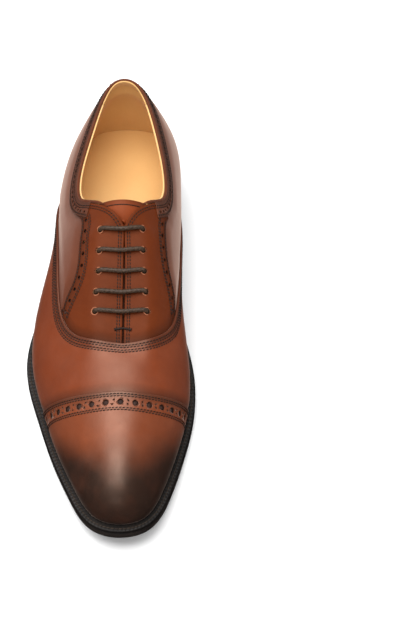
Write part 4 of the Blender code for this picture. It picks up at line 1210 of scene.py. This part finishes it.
def lining_vamp(material):
    patches = []
    across = fan(0, 1, 34)
    rear = 0.36 + 1.5 * LINING_BUTT / PER_A
    for side in SIDES:
        low = line_between(at(rear, 0, side), at(1, 0, side))
        seam = shifted(curve_through(LINING_SEAM, side), -LINING_BUTT, side)
        seam = pinned(seam, at(rear, 0, side), (LINING_SEAM[-1][0], 1))
        grid = coons(seam, line_between(at(1, 0, side), (1, 1)), low,
                     line_between(tuple(seam(1.0)), (1, 1)), across, np.linspace(0, 1, 20))
        depth = np.full(grid.shape[:2], LINING_DEPTH)
        patches += with_margin(side, grid, depth, MARGIN_UNDER, LINING_MARGIN)
    return sheet("lining_vamp", patches, LINING, material, "lining_leather")


def tongue_grid(across, u):
    """The tongue, with an arched top edge between the collar's corners, as (a, w)."""
    half = spline(*TONGUE_HALF)
    start = TONGUE_TOP + 0.004 - TONGUE_ARCH * u**2
    a = start + across * (TONGUE_ROOT - start)
    return np.stack([a, 1 + u * half(np.maximum(a, 0.40))], -1)


def tongue_points(across, u, lift=0.0):
    """The tongue's outer face: one smooth arch across at its top, and under the facings lower down."""
    grid = tongue_grid(across, u)
    low = layer(grid[..., 0], grid[..., 1], TONGUE_DEPTH + 0.5 * sag(grid) - lift)
    ends = tongue_grid(across, -np.ones_like(u)), tongue_grid(across, np.ones_like(u))
    middle = tongue_grid(across, np.zeros_like(u))
    left, right = (layer(e[..., 0], e[..., 1], TONGUE_SIDES - lift) for e in ends)
    crown = layer(middle[..., 0], 1.0, TONGUE_CROWN - lift)
    crown[..., 0] = 0.5 * (left[..., 0] + right[..., 0])
    s = (u + 0 * across)[..., None]
    arch = 0.5 * (left + right) + 0.5 * s * (right - left) + (1 - s**2) * (crown - 0.5 * (left + right))
    share = smooth((across - 0.06) / 0.14)[..., None]
    return arch + share * (low - arch)


def tongue(material):
    across = np.concatenate([np.linspace(0, 0.2, 20), np.linspace(0.2, 1, 30)[1:]])[:, None]
    u = np.linspace(-1, 1, 41)[None, :]
    grid = tongue_grid(across, u)
    points = to_world(tongue_points(across, u)).reshape(-1, 3)
    flat = grid.reshape(-1, 2)
    # Painted shade: the tongue's colour is darkened under the slit, where the facings shade it.
    shade = 0.75 * smooth((flat[:, 0] - 0.452) / 0.02)
    values = even_looks(len(flat), shade, 1.0 + (flat[:, 0] - TONGUE_TOP) * PER_A)
    mesh = raw_mesh("tongue_leather", points, quads(*grid.shape[:2]), values)
    obj = new_object("tongue_leather", mesh, material, "tan_leather", "tongue")
    thicken(obj, TONGUE)
    rounded = obj.modifiers.new("rounding", "BEVEL")
    rounded.width = 0.5 * MM
    rounded.segments = 3
    rounded.limit_method = "ANGLE"
    rounded.angle_limit = math.radians(50)
    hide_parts("tongue")
    return obj


# The bottom.
def plan_edge(a, side, out):
    """Plan point (x, t) outside the feather edge by a distance."""
    h = 1e-3
    run = unit(feather(a + h, side)[..., :2] - feather(a - h, side)[..., :2])
    square = np.stack([run[..., 1], -run[..., 0]], -1) * side
    return feather(a, side)[..., :2] + square * np.asarray(out)[..., None]


def plan_inset(a, side, inset):
    """Plan point inside the feather edge by a distance."""
    return (feather(a, side) - outward(a, side) * inset)[..., :2]


def cosine(start, end, count):
    return start + (end - start) * (1 - np.cos(np.linspace(0, math.pi, count))) / 2


def sole_edge(a, side, inset=0.0):
    return plan_edge(a, side, welt_edge(a) - inset)


def level(height):
    return lambda t: sole_rise(t) + height


def flat(height):
    return lambda t: 0 * t + height


def closed_mesh(name, points, faces):
    bm = bmesh.new()
    verts = [bm.verts.new(p) for p in to_world(points)]
    for f in faces:
        bm.faces.new([verts[i] for i in f])
    bmesh.ops.remove_doubles(bm, verts=bm.verts, dist=WELD)
    bmesh.ops.dissolve_degenerate(bm, edges=bm.edges, dist=SLIVER)
    bmesh.ops.recalc_face_normals(bm, faces=bm.faces)
    mesh = bpy.data.meshes.new(name)
    bm.to_mesh(mesh)
    bm.free()
    return mesh


def raised(plan, height):
    """Points over the plan's points (x, t), at the heights that a function of t gives."""
    return np.concatenate([plan, height(plan[..., 1])[..., None]], -1)


def slab(name, a, edge, profile, material, slot, node, columns=12, breast=False):
    """A solid with a rounded edge: profile lists (inset, height function) from its underside up.

    With a breast its two sides are joined by a straight front, and otherwise they meet at the toe.
    """
    points = []
    for inset, height in profile:
        lateral, medial = edge(a, -1, inset), edge(a, 1, inset)
        c = np.linspace(0, 1, columns)[1:-1, None]
        front = [(1 - c) * lateral[-1] + c * medial[-1], medial[-1:]] if breast else []
        points.append(raised(np.concatenate([lateral, *front, medial[-2:0:-1]]), height))
    faces = ring_faces(len(profile), len(points[0]))
    count = len(points[0]) * len(profile)
    for inset, height in (profile[0], profile[-1]):
        c = np.linspace(0, 1, columns)[None, :, None]
        grid = (1 - c) * edge(a, -1, inset)[:, None] + c * edge(a, 1, inset)[:, None]
        points.append(raised(grid, height).reshape(-1, 3))
        faces += quads(len(a), columns, first=count)
        count += len(a) * columns
    return edged(name, closed_mesh(name, np.concatenate(points), faces), material, slot, node)


def edged(name, mesh, material, slot, node):
    """The object of a solid whose sharp edges stay sharp, in place of a node."""
    obj = new_object(name, mesh, material, slot)
    mesh.set_sharp_from_angle(angle=SHARP)
    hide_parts(node)
    return obj


def path_round(a, edge):
    """Plan points along the edge, from the lateral end round the toe or heel to the medial end."""
    return np.concatenate([edge(a, -1), edge(a[::-1], 1)[1:]])


def arc_stations(start, end, edge, pitch):
    """Values of a between start and end, evenly spaced along the edge."""
    a = np.linspace(start, end, 1500)
    s = lengths(edge(a, -1))
    return np.interp(np.linspace(0, s[-1], int(s[-1] / pitch) + 1), s, a)


def swept(name, a, section, material, node):
    """A solid ring over part of the outline: section lists (inset, height function) of its outside."""
    rows = []
    for inset, height in section:
        rows.append(raised(path_round(a, lambda x, side: sole_edge(x, side, inset)), height))
    for height in (section[-1][1], section[0][1]):
        rows.append(raised(path_round(a, lambda x, side: plan_inset(x, side, WELT_INSET)), height))
    grid = np.stack(rows, axis=1)
    n, m = grid.shape[:2]
    faces = [(f[0], f[3], f[2], f[1]) for f in ring_faces(n, m)]
    faces += [tuple(range(m)), tuple(range((n - 1) * m, n * m))]
    return edged(name, closed_mesh(name, grid.reshape(-1, 3), faces), material, "sole_leather", node)


def welt(material):
    """The welt with the fudge wheel's notches across its top."""
    a = arc_stations(BREAST_A, 1, sole_edge, NOTCH_PITCH / NOTCH_STEPS)
    count = 2 * len(a) - 1
    wave = 0.5 + 0.5 * np.cos(2 * math.pi * np.arange(count) / NOTCH_STEPS)
    dent = NOTCH * wave**3

    def top(height, share):
        return lambda t: sole_rise(t) + height - share * dent

    section = [(0.5, level(WELT_LOW)), (0.12, level(WELT_LOW + 0.25)), (0.0, level(WELT_LOW + 0.7)),
               (0.0, top(WELT_TOP - 0.9, 0.0)), (0.18, top(WELT_TOP - 0.35, 0.6)),
               (0.55, top(WELT_TOP - 0.08, 1.0)), (1.1, top(WELT_TOP, 1.0)), (3.0, top(WELT_TOP, 1.0)),
               (3.7, top(WELT_TOP, 0.2))]
    return swept("welt_leather", a, section, material, "welt")


def heel_rand(material):
    a = arc_stations(0, BREAST_A - BUTT / PER_A, sole_edge, 1.5)[::-1]
    section = [(0.4, level(WELT_LOW)), (0.1, level(WELT_LOW + 0.25)), (0.0, level(WELT_LOW + 0.8)),
               (0.0, level(WELT_TOP - 0.9)), (0.2, level(WELT_TOP - 0.3)), (0.7, level(WELT_TOP))]
    return swept("heel_rand_leather", a, section, material, "heel_rand")


def outsole(material):
    a = cosine(0, 1, 150)
    profile = [(1.6, level(0)), (0.8, level(0.12)), (0.3, level(0.5)), (0.08, level(1.1)),
               (0.0, level(OUTSOLE / 2)), (0.06, level(OUTSOLE - 1.0)), (0.22, level(OUTSOLE - 0.4)),
               (0.6, level(OUTSOLE))]
    return slab("outsole_leather", a, sole_edge, profile, material, "sole_leather", "outsole")


def heel(rubber, stack):
    """The rubber top piece and the leather lifts, which taper a little towards the floor."""
    a = fan(0, BREAST_A, 46)
    bottoms = [0] + [TOP_PIECE + GAP + k * (LIFT + GAP) for k in range(HEEL_LIFTS)]
    for k, low in enumerate(bottoms):
        top = TOP_PIECE if k == 0 else low + LIFT
        inset, upper = HEEL_TAPER * (1 - low / HEEL_HIGH), HEEL_TAPER * (1 - top / HEEL_HIGH)
        ceiling = level(-GAP) if k == HEEL_LIFTS else flat(top)

        def height(share, low=low, ceiling=ceiling):
            return lambda t: (1 - share) * low + share * ceiling(t)

        profile = [(inset + 0.35, height(0)), (inset + 0.08, height(0.05)), (inset, height(0.12)),
                   (upper, height(0.9)), (upper + 0.07, height(0.96)), (upper + 0.3, height(1))]
        node = "heel_lift_%d" % k if k else "heel_top_piece"
        look, slot = (stack, "sole_leather") if k else (rubber, "heel_rubber")
        slab(node + "_block", a, sole_edge, profile, look, slot, node, breast=True)


def sock_liner(material):
    """The sock liner, with a rounded edge."""
    a = cosine(0, 1, 90)

    def edge(x, side, inset):
        reach = SOCK_INSET + (INSOLE_INSET + TOE_INSET - SOCK_INSET) * smooth((x - 0.55) / 0.3)
        reach = reach + HEEL_CUP * smooth((0.16 - x) / 0.15)
        return plan_edge(x, side, -(reach + inset))

    low = INSOLE_LOW + INSOLE_THICK + GAP
    top = low + SOCK_THICK
    profile = [(0.3, level(low)), (0.0, level(low + 0.3)), (0.0, level(top - 0.3)), (0.35, level(top))]
    return slab("sock_liner_leather", a, edge, profile, material, "lining_leather", "sock_liner", 24)


# Lacing and thread.
def lace_holes():
    """(a, w) of each lace hole by (side, row), with row 0 at the top."""
    return {(side, i): at(a, lat if side < 0 else med, side)
            for i, (a, lat, med) in enumerate(LACE_ROWS) for side in SIDES}


def laced_holes(side):
    return [(*lace_holes()[side, row], HOLE_R) for row in range(len(LACE_ROWS))]


def lace_points():
    """The lace's route: five straight bars outside, joined by runs under the facings."""
    holes = lace_holes()
    points = []

    def add(a, w, depth):
        points.append(layer(a, w, depth + sag(np.array([a, w]))))

    def through(side, row, outwards, lane):
        """The points through one hole, listed from inside out, or from outside in."""
        a, w = holes[side, row]
        toe = lane / PER_A
        # a, millimetres inwards from the hole, and depth
        steps = [(a + toe, 0, LACE_UNDER), (a + 0.3 * toe, 0, 4.4), (a, 0, 3.1), (a, 0, 0.9),
                 (a, 0.35, -0.7), (a, 2.0, -LACE_LIFT)]
        for a_step, inward, depth in steps if outwards else steps[::-1]:
            add(a_step, w - side * inward / PER_W, depth)

    def bar(row, start, lane_in, lane_out):
        through(start, row, True, lane_in)
        first, last = holes[start, row], holes[-start, row]
        for k in (0.3, 0.5, 0.7):
            w = first[1] + k * (last[1] - first[1])
            level = min(abs(w - first[1]), abs(w - last[1]))
            middle = first[0] + k * (last[0] - first[0]) + STRAIGHT * level
            points.append(layer(middle, w, BAR_SAG * sag(np.array([middle, w])) - LACE_LIFT))
        through(-start, row, False, lane_out)

    def under(side, first, last, sideways):
        """A run under the facing between two rows, moved aside in its middle."""
        a, w = (0.5 * (np.array(holes[side, first]) + np.array(holes[side, last])))
        add(a, w + side * sideways / PER_W, LACE_UNDER)

    def tail(side, row, end_a, sideways):
        """The cord from beside a hole to its end under the facing."""
        a0, w0 = holes[side, row]
        found = []
        for a in np.linspace(a0 + 0.012, end_a, 6):
            aside = sideways * min(1, (a - a0) * PER_A / 9)
            found.append(layer(a, w0 + side * aside / PER_W, LACE_UNDER))
        return found

    first, last = TAILS
    points.extend(tail(*first)[::-1])
    bar(1, -1, 2, 2)
    under(1, 1, 3, 3.2)
    bar(3, 1, -2, 2)
    under(-1, 3, 4, 0)
    bar(4, -1, -2, -2)
    under(1, 4, 2, -3.2)
    bar(2, 1, 2, -2)
    under(-1, 2, 0, -3.2)
    bar(0, -1, 2, 2)
    points.extend(tail(*last))
    return np.array(points)


def smoothed(points, pitch):
    """The polyline with its corners rounded, and points at an even pitch in millimetres."""
    p = np.asarray(points, float)
    for _ in range(3):
        cut = np.stack([0.75 * p[:-1] + 0.25 * p[1:], 0.25 * p[:-1] + 0.75 * p[1:]], 1).reshape(-1, 3)
        p = np.concatenate([p[:1], cut, p[-1:]])
    s = lengths(p)
    x = np.linspace(0, s[-1], int(s[-1] / pitch) + 1)
    return np.stack([np.interp(x, s, p[:, k]) for k in range(3)], -1)


def braid(along, turns):
    one = np.sin(STRANDS * turns + 2 * math.pi * along / BRAID)
    two = np.sin(STRANDS * turns - 2 * math.pi * along / BRAID)
    return 0.97 + 0.075 * np.maximum(one, two)


def lace(material):
    path = to_world(smoothed(lace_points(), 0.3))
    mesh = raw_mesh("lace_cord", *tube(path, LACE_R, 20, braid))
    obj = new_object("lace_cord", mesh, material, "waxed_cord")
    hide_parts("lace")


def bar_tack(material):
    """The thread bar that closes the foot of the lacing slit, with a small knot at each end."""
    spots = np.arange(BAR_TACK_SPOTS)
    w = 1 + np.linspace(-BAR_TACK_HALF, BAR_TACK_HALF, len(spots))
    line = np.stack([np.full(len(spots), BAR_TACK_A), w], -1)
    path = to_world(layer(line[:, 0], line[:, 1], sag(line) - 0.35))
    radius = BAR_TACK_R + BAR_TACK_KNOT * smooth(1 - np.minimum(spots, spots[::-1]) / 3.5)

    def wound(along, turns):
        return 1 + 0.10 * np.sin(2 * math.pi * along / 0.75 + turns)

    fine = np.linspace(0, spots[-1], 160)
    path = np.stack([np.interp(fine, spots, path[:, k]) for k in range(3)], -1)
    mesh = raw_mesh("bar_tack_thread", *tube(path, np.interp(fine, spots, radius), 12, wound))
    obj = new_object("bar_tack_thread", mesh, material, "waxed_cord")
    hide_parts("bar_tack")


def topline_bead(material):
    """The rolled bead along the topline, from one facing round the back to the other."""
    a = np.concatenate([fan(0, 0.03, 8), np.linspace(0.035, 0.32, 60), np.linspace(0.325, 0.404, 30)])
    lines = []
    for side in SIDES:
        line = beside(sided(a, topline(a), side), BEAD_R * 0.55 + 0.85, side)
        lines.append(layer(line[:, 0], line[:, 1], 0.55 - 0.5 * smooth((a - 0.375) / 0.015)))
    back = 0.5 * (lines[0][:1] + lines[1][:1])
    path = smoothed(np.concatenate([lines[0][:0:-1], back, lines[1][1:]]), 0.8)
    taper = np.minimum(np.arange(len(path)), np.arange(len(path))[::-1]) * 0.8
    radius = BEAD_R * (0.45 + 0.55 * smooth(taper / 5))
    points, faces = tube(to_world(path), radius)
    mesh = raw_mesh("topline_bead_roll", points, faces, even_looks(len(points), 0.15, 6.0))
    obj = new_object("topline_bead_roll", mesh, material, "brown_leather")
    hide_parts("topline_bead")


# Rows of stitches and punched holes.
def keep_run(line, keep):
    """The longest unbroken stretch of a line where keep is true."""
    best, start = (0, 0), None
    for i, ok in enumerate(list(keep) + [False]):
        if ok and start is None:
            start = i
        if not ok and start is not None:
            if i - start > best[1] - best[0]:
                best = (start, i)
            start = None
    return line[best[0] : best[1]]


def height_of(line):
    return np.minimum(line[:, 1], 2 - line[:, 1])


def moved_in(line, mm, goal):
    return offset(line, -mm, line + np.array(goal, float))


def depth_both(function):
    """A depth function for rows that run over the ridge to the other side."""

    def depth(points, side):
        low = points[..., 1] <= 1
        return np.where(low, function(points, -1), function(points, 1))

    return depth


def vamp_a_at(line, side):
    """Where the vamp's rear edge lies at the heights of a line's points."""
    edge = vamp_poly[side]
    height = np.minimum(edge[:, 1], 2 - edge[:, 1])
    return np.interp(height_of(line), height, edge[:, 0])


def facing_row(side, mm):
    line = moved_in(line_of(facing_outer[side], 240), mm, (0, -side * 0.1))
    a = line[:, 0]
    return keep_run(line, (a < vamp_a_at(line, side) + 0.004) & (a > 0.405 + mm / 2000))


def facing_slit_row(side, mm):
    line = moved_in(slit_line(side, np.linspace(0.0, 1, 240)), mm, (0, side * 0.1))
    start = SLIT_TOP + mm / PER_A
    return keep_run(line, (line[:, 0] < vamp_a_at(line, side) + 0.004) & (line[:, 0] > start))


def facing_top_row(side, mm):
    line = moved_in(line_of(topline_at(side, 0.374, SLIT_TOP), 240), mm, (0.05, 0))
    limit = VISIBLE_SLIT - mm / PER_W
    return keep_run(line, (line[:, 0] > COLLAR_TIP + 0.005) & (height_of(line) < limit + 0.002))


def collar_row(side, mm):
    line = line_of(collar_edge[side], 300)
    line = moved_in(line, mm, (0, -side * 0.1))
    line = keep_run(line, line[:, 0] > 0.046)
    return line[: -max(1, int(mm * 2))]


def collar_top_row(side, mm):
    line = moved_in(line_of(topline_at(side, 0.03, 0.39), 260), mm, (0, side * 0.1))
    return keep_run(line, (line[:, 0] > 0.046) & (line[:, 0] < COLLAR_TIP + mm / PER_A))


def across_ridge(curves, mm):
    """A row a distance inside a seam, from the lateral feather edge over the ridge to the medial one."""
    rows = []
    for side in SIDES:
        line = moved_in(line_of(curves[side]), mm, (0.05, 0))
        line = keep_run(line, (height_of(line) > 0.02) & (side * (line[:, 1] - 1) > 0.003))
        last = line[-1] + (line[-1] - line[-2]) * (1 - line[-1, 1]) / (line[-1, 1] - line[-2, 1])
        rows.append(np.concatenate([line, last[None]]))
    return np.concatenate([rows[0], rows[1][-2::-1]])


def vamp_row(mm):
    return across_ridge(vamp_line, mm)


def cap_row(mm):
    return across_ridge(cap_line, mm)


def stitch_cap_and_vamp(thread):
    rows = Stitches()
    for mm in CAP_ROWS:
        rows.row(cap_row(mm), depth_cap, 0)
    for mm in VAMP_ROWS:
        rows.row(vamp_row(mm), depth_both(depth_vamp), 0)
    rows.make("stitches_cap_vamp", thread)


def stitch_facing(side, thread):
    rows = Stitches()
    for mm in FACING_ROWS:
        rows.row(facing_row(side, mm), depth_facing, side)
    for mm in SLIT_ROWS:
        rows.row(facing_slit_row(side, mm), depth_facing, side)
        rows.row(facing_top_row(side, mm), depth_facing, side)
    rows.make("stitches_facing_" + NAMES[side], thread)


def stitch_collar(side, strap_edge, thread):
    rows = Stitches()
    rows.row(collar_row(side, COLLAR_ROW), depth_collar, side)
    for mm in TOPLINE_ROWS:
        rows.row(collar_top_row(side, mm), depth_collar, side)
    line = moved_in(strap_edge, COLLAR_ROW, (-0.02, 0))
    line = keep_run(line, height_of(line) > 0.03)
    rows.row(line, depth_backstay, side)
    rows.make("stitches_collar_" + NAMES[side], thread)


def stitch_tongue(thread):
    rows = Stitches()
    u = np.linspace(-0.86, 0.86, 26)
    share = np.full(len(u), TONGUE_ROW / PER_A / (TONGUE_ROOT - TONGUE_TOP))
    place = tongue_points(share, u, 0.1)
    behind = tongue_points(0.8 * share, u, 0.1) - place
    rows.along(place, unit(np.cross(behind, np.gradient(place, axis=0))))
    rows.make("stitches_tongue", thread, body="tongue")


def stitch_welt(thread):
    rows = Stitches()
    a = arc_stations(BREAST_A + 0.004, 1, sole_edge, NOTCH_PITCH)
    line = path_round(a, lambda x, side: sole_edge(x, side, WELT_ROW))
    up = np.tile([0, 0, 1.0], (len(line), 1))
    rows.along(raised(line, level(WELT_TOP - 0.1)), up, 1.05, 0.42, 0.12, ends=False)
    rows.make("stitches_welt", thread)


def cap_holes():
    """Large holes in a row, and between them pairs of tiny ones."""
    row, start, pitch, radius, _ = CAP_PUNCHES
    spots = resample(cap_row(row), pitch, start)
    pairs = spots[1::2]
    holes = [(a, w, radius) for a, w in spots[::2] if 0.03 < min(w, 2 - w)]
    for mm in (-PAIR_APART, PAIR_APART):
        line = offset(pairs, mm, pairs + [0.05, 0])
        holes += [(a, w, PAIR_R) for a, w in line if 0.04 < min(w, 2 - w)]
    return holes


def side_holes(row_of, side, sizes):
    row, start, pitch, radius, _ = sizes
    return [(a, w, radius) for a, w in resample(row_of(side, row), pitch, start)]


def shaded_backing(name, holes, depth, material):
    """Discs of leather a little under the punched holes, coloured dark as painted shade inside the holes.
    """
    points, faces = [], []
    turns = circle(12)
    for a, w, radius in holes:
        out = wall_normal(a, w)
        one = unit(np.cross(out, [0.0, 0.0, 1.0]))
        two = np.cross(out, one)
        base = len(points) * 12
        centre = layer(a, w, depth)
        spokes = np.cos(turns)[:, None] * one + np.sin(turns)[:, None] * two
        points.append(centre + (radius + BACKING_MORE) * spokes)
        faces.append(tuple(range(base, base + 12)))
    mesh = raw_mesh(name, to_world(np.concatenate(points)), faces)
    thicken(new_object(name, mesh, material, "tan_leather"), BACKING_THICK, inwards=False)


def hole_rims(side, material):
    """The leather pressed up a little round each lace hole."""
    points, faces = [], []
    big, small = circle(28), circle(8)
    for a, w, _ in laced_holes(side):
        out = wall_normal(a, w)
        one = unit(np.cross(out, [1.0, 0.0, 0.0]))
        two = np.cross(out, one)
        centre = layer(a, w, float(depth_facing(np.array([[a, w]]), side)[0]) + 0.08)
        base = len(points) * len(big) * len(small)
        radial = np.cos(big)[:, None] * one + np.sin(big)[:, None] * two
        ring = (HOLE_R + RIM_OUT + RIM_WIDE * np.cos(small)[None, :, None]) * radial[:, None]
        ring = ring + RIM_HIGH * np.sin(small)[None, :, None] * out
        points.append((centre + ring).reshape(-1, 3))
        for i in range(28):
            low, high = base + 8 * i, base + 8 * ((i + 1) % 28)
            faces += [(low + j, high + j, high + (j + 1) % 8, low + (j + 1) % 8) for j in range(8)]
    points = to_world(np.concatenate(points))
    name = "lace_hole_rims_" + NAMES[side]
    mesh = raw_mesh(name, points, faces, even_looks(len(points), 0.2, 2.0))
    new_object(name, mesh, material, "tan_leather")


# The looks.
cap_look = leather("burnished_calf", (123, 56, 24), (96, 40, 16), 0.43, (2.0, 10.7), coat=0.05, shine=1.0,
                   veil=0.2, bloom=0.2)
vamp_look = leather("tan_calf", (121, 51, 19), (96, 37, 12), 0.45, (1.9, 4.9), shine=0.85, veil=0.2,
                    bloom=0.2)
facing_look = leather("facing_calf", (98, 42, 15), (75, 29, 10), 0.48, (1.0, 6.3), shine=0.15)
quarter_look = leather("brown_calf", (98, 48, 27), (74, 33, 18), 0.46, veil=0.55, shade=0.15)
collar_look = leather("collar_calf", (104, 52, 30), (74, 34, 19), 0.46, (1.0,), veil=0.1)
# Partly painted highlight: the lace holes' rims are much lighter than the facing, a polished edge with a
# glint painted in.
rim_edge_and_highlight_look = leather("rim_calf", (196, 128, 96), (160, 92, 62), 0.45, burnish_and_shade_colour=(100, 52, 32))
tongue_look = leather("tongue_calf", (132, 62, 32), (100, 44, 21), 0.46, shine=0.15)
thread = waxed("seam_thread", (50, 34, 26), (24, 15, 11), 0.6)
lace_look = waxed("lace_wax", (78, 58, 43), (36, 26, 18), 0.5)
welt_thread = waxed("welt_thread", (66, 53, 41), (36, 27, 20), 0.6)
# Painted shade: the heel's lining is a darker copy of the quarters' lining leather, for the shade inside
# the heel.
shaded_heel_lining_look = lining_leather("heel_lining_calf", (214, 168, 104), (192, 142, 82))
side_lining_look = lining_leather("quarter_lining_calf", (232, 188, 124), (214, 164, 100))
sock_look = lining_leather("sock_calf", (218, 172, 107), (204, 152, 89))
edge_look = edge_leather("sole_edge_wax", (48, 41, 37), (28, 22, 19), 0.4)
welt_look = edge_leather("welt_wax", (32, 25, 21), (16, 12, 10), 0.55)
stack_look = edge_leather("heel_stack_wax", (62, 50, 44), (34, 26, 22), 0.36)
rubber_look = plain("heel_rubber", (38, 35, 33), (24, 22, 21), 0.7)
# Painted shade: the dark colour inside the punched holes, on discs under them.
punch_shadow_look = plain("punch_shadow", (64, 34, 22), (46, 25, 16), 0.8)
board_look = plain("stiffener_board", (196, 160, 112), (170, 132, 86), 0.8)
cork_look = plain("cork_grain", (160, 118, 76), (112, 76, 44), 0.9)
steel_look = plain("shank_steel", (160, 160, 164), (130, 130, 134), 0.35, 1.0)
brass_look = plain("eyelet_brass", (92, 58, 34), (66, 40, 24), 0.5, 1.0)
INSIDE = {
    board_look: ["toe_puff", "heel_stiffener", "insole", "insole_rib"],
    cork_look: ["cork_filler"],
    steel_look: ["shank"],
    brass_look: ["aglet_lateral", "aglet_medial"]
    + ["eyelet_%s_%d" % (name, row) for name in NAMES.values() for row in range(1, 6)],
}


# The whole shoe.
def upper():
    strap_edges = backstay(collar_look)
    holes = cap_holes()
    punch(toe_cap(cap_look), holes)
    vamp(vamp_look)
    tongue(tongue_look)
    stitch_cap_and_vamp(thread)
    stitch_tongue(thread)
    shaded_backing("cap_punch_backing", holes, CAP_PUNCHES[-1], punch_shadow_look)
    for side in SIDES:
        quarter(side, quarter_look)
        laced = laced_holes(side)
        holes = side_holes(facing_row, side, FACING_PUNCHES)
        punch(facing(side, facing_look), laced + holes)
        shaded_backing("facing_punch_backing_" + NAMES[side], holes, FACING_PUNCHES[-1], punch_shadow_look)
        hole_rims(side, rim_edge_and_highlight_look)
        holes = side_holes(collar_row, side, COLLAR_PUNCHES)
        punch(collar_band(side, collar_look), holes)
        shaded_backing("collar_punch_backing_" + NAMES[side], holes, COLLAR_PUNCHES[-1], punch_shadow_look)
        wider = [(a, w, r + LINING_HOLE_MORE) for a, w, r in laced]
        punch(lining_quarter(side, side_lining_look), wider)
        stitch_facing(side, thread)
        stitch_collar(side, strap_edges[side], thread)


def inside():
    lining_heel(shaded_heel_lining_look)
    lining_vamp(side_lining_look)
    sock_liner(sock_look)
    for look, names in INSIDE.items():
        for name in names:
            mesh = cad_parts[name].data
            mesh.materials.clear()
            mesh.materials.append(look)


def bottom():
    welt(welt_look)
    heel_rand(welt_look)
    outsole(edge_look)
    heel(rubber_look, stack_look)
    stitch_welt(welt_thread)


# Floor, light and camera.
def soft_light(name, place, aim, size, watts):
    data = bpy.data.lights.new(name, "AREA")
    data.shape = "RECTANGLE"
    data.size, data.size_y = size
    data.energy = watts
    obj = bpy.data.objects.new(name, data)
    bpy.context.scene.collection.objects.link(obj)
    obj.location = place
    obj.rotation_euler = (Vector(aim) - Vector(place)).to_track_quat("-Z", "Y").to_euler()
    obj.visible_camera = False


def floor():
    mesh = bpy.data.meshes.new("floor")
    mesh.from_pydata([(-4, -4, 0), (4, -4, 0), (4, 4, 0), (-4, 4, 0)], [], [(0, 1, 2, 3)])
    obj = bpy.data.objects.new("floor", mesh)
    bpy.context.scene.collection.objects.link(obj)
    obj.location.z = -0.0004
    n = Nodes("floor_paper")
    shade = n.range(n.noise(3, 2, 0.5), 0.3, 0.7)
    n.set(Base_Color=n.mix(shade, linear(252, 252, 252), linear(250, 250, 250)), Roughness=0.8)
    n.set(Specular_IOR_Level=0.2)
    mesh.materials.append(n.material)
    obj.visible_glossy = False


def studio():
    """Soft light from all round, which leaves no reflections on the leather, and four soft lamps."""
    floor()
    world = bpy.data.worlds.new("studio")
    world.use_nodes = True
    back = world.node_tree.nodes["Background"]
    back.inputs["Color"].default_value = (1, 1, 1, 1)
    back.inputs["Strength"].default_value = WORLD_LIGHT
    bpy.context.scene.world = world
    world.cycles_visibility.glossy = False
    for light in LIGHTS:
        soft_light(*light)
    bpy.context.scene.view_settings.view_transform = "Standard"
    bpy.context.scene.view_settings.look = "None"


def photo_camera():
    data = bpy.data.cameras.new("camera")
    data.lens = FOCAL_LENGTH
    data.sensor_width = SENSOR
    data.shift_x = SHIFT
    data.clip_end = 20
    obj = bpy.data.objects.new("camera", data)
    bpy.context.scene.collection.objects.link(obj)
    obj.location = Vector(CAMERA_PLACE) * MM
    obj.rotation_euler = (math.radians(CAMERA_TILT), 0, math.radians(CAMERA_TURN))
    bpy.context.scene.camera = obj


upper()
inside()
lace(lace_look)
bar_tack(thread)
topline_bead(collar_look)
bottom()
studio()
photo_camera()
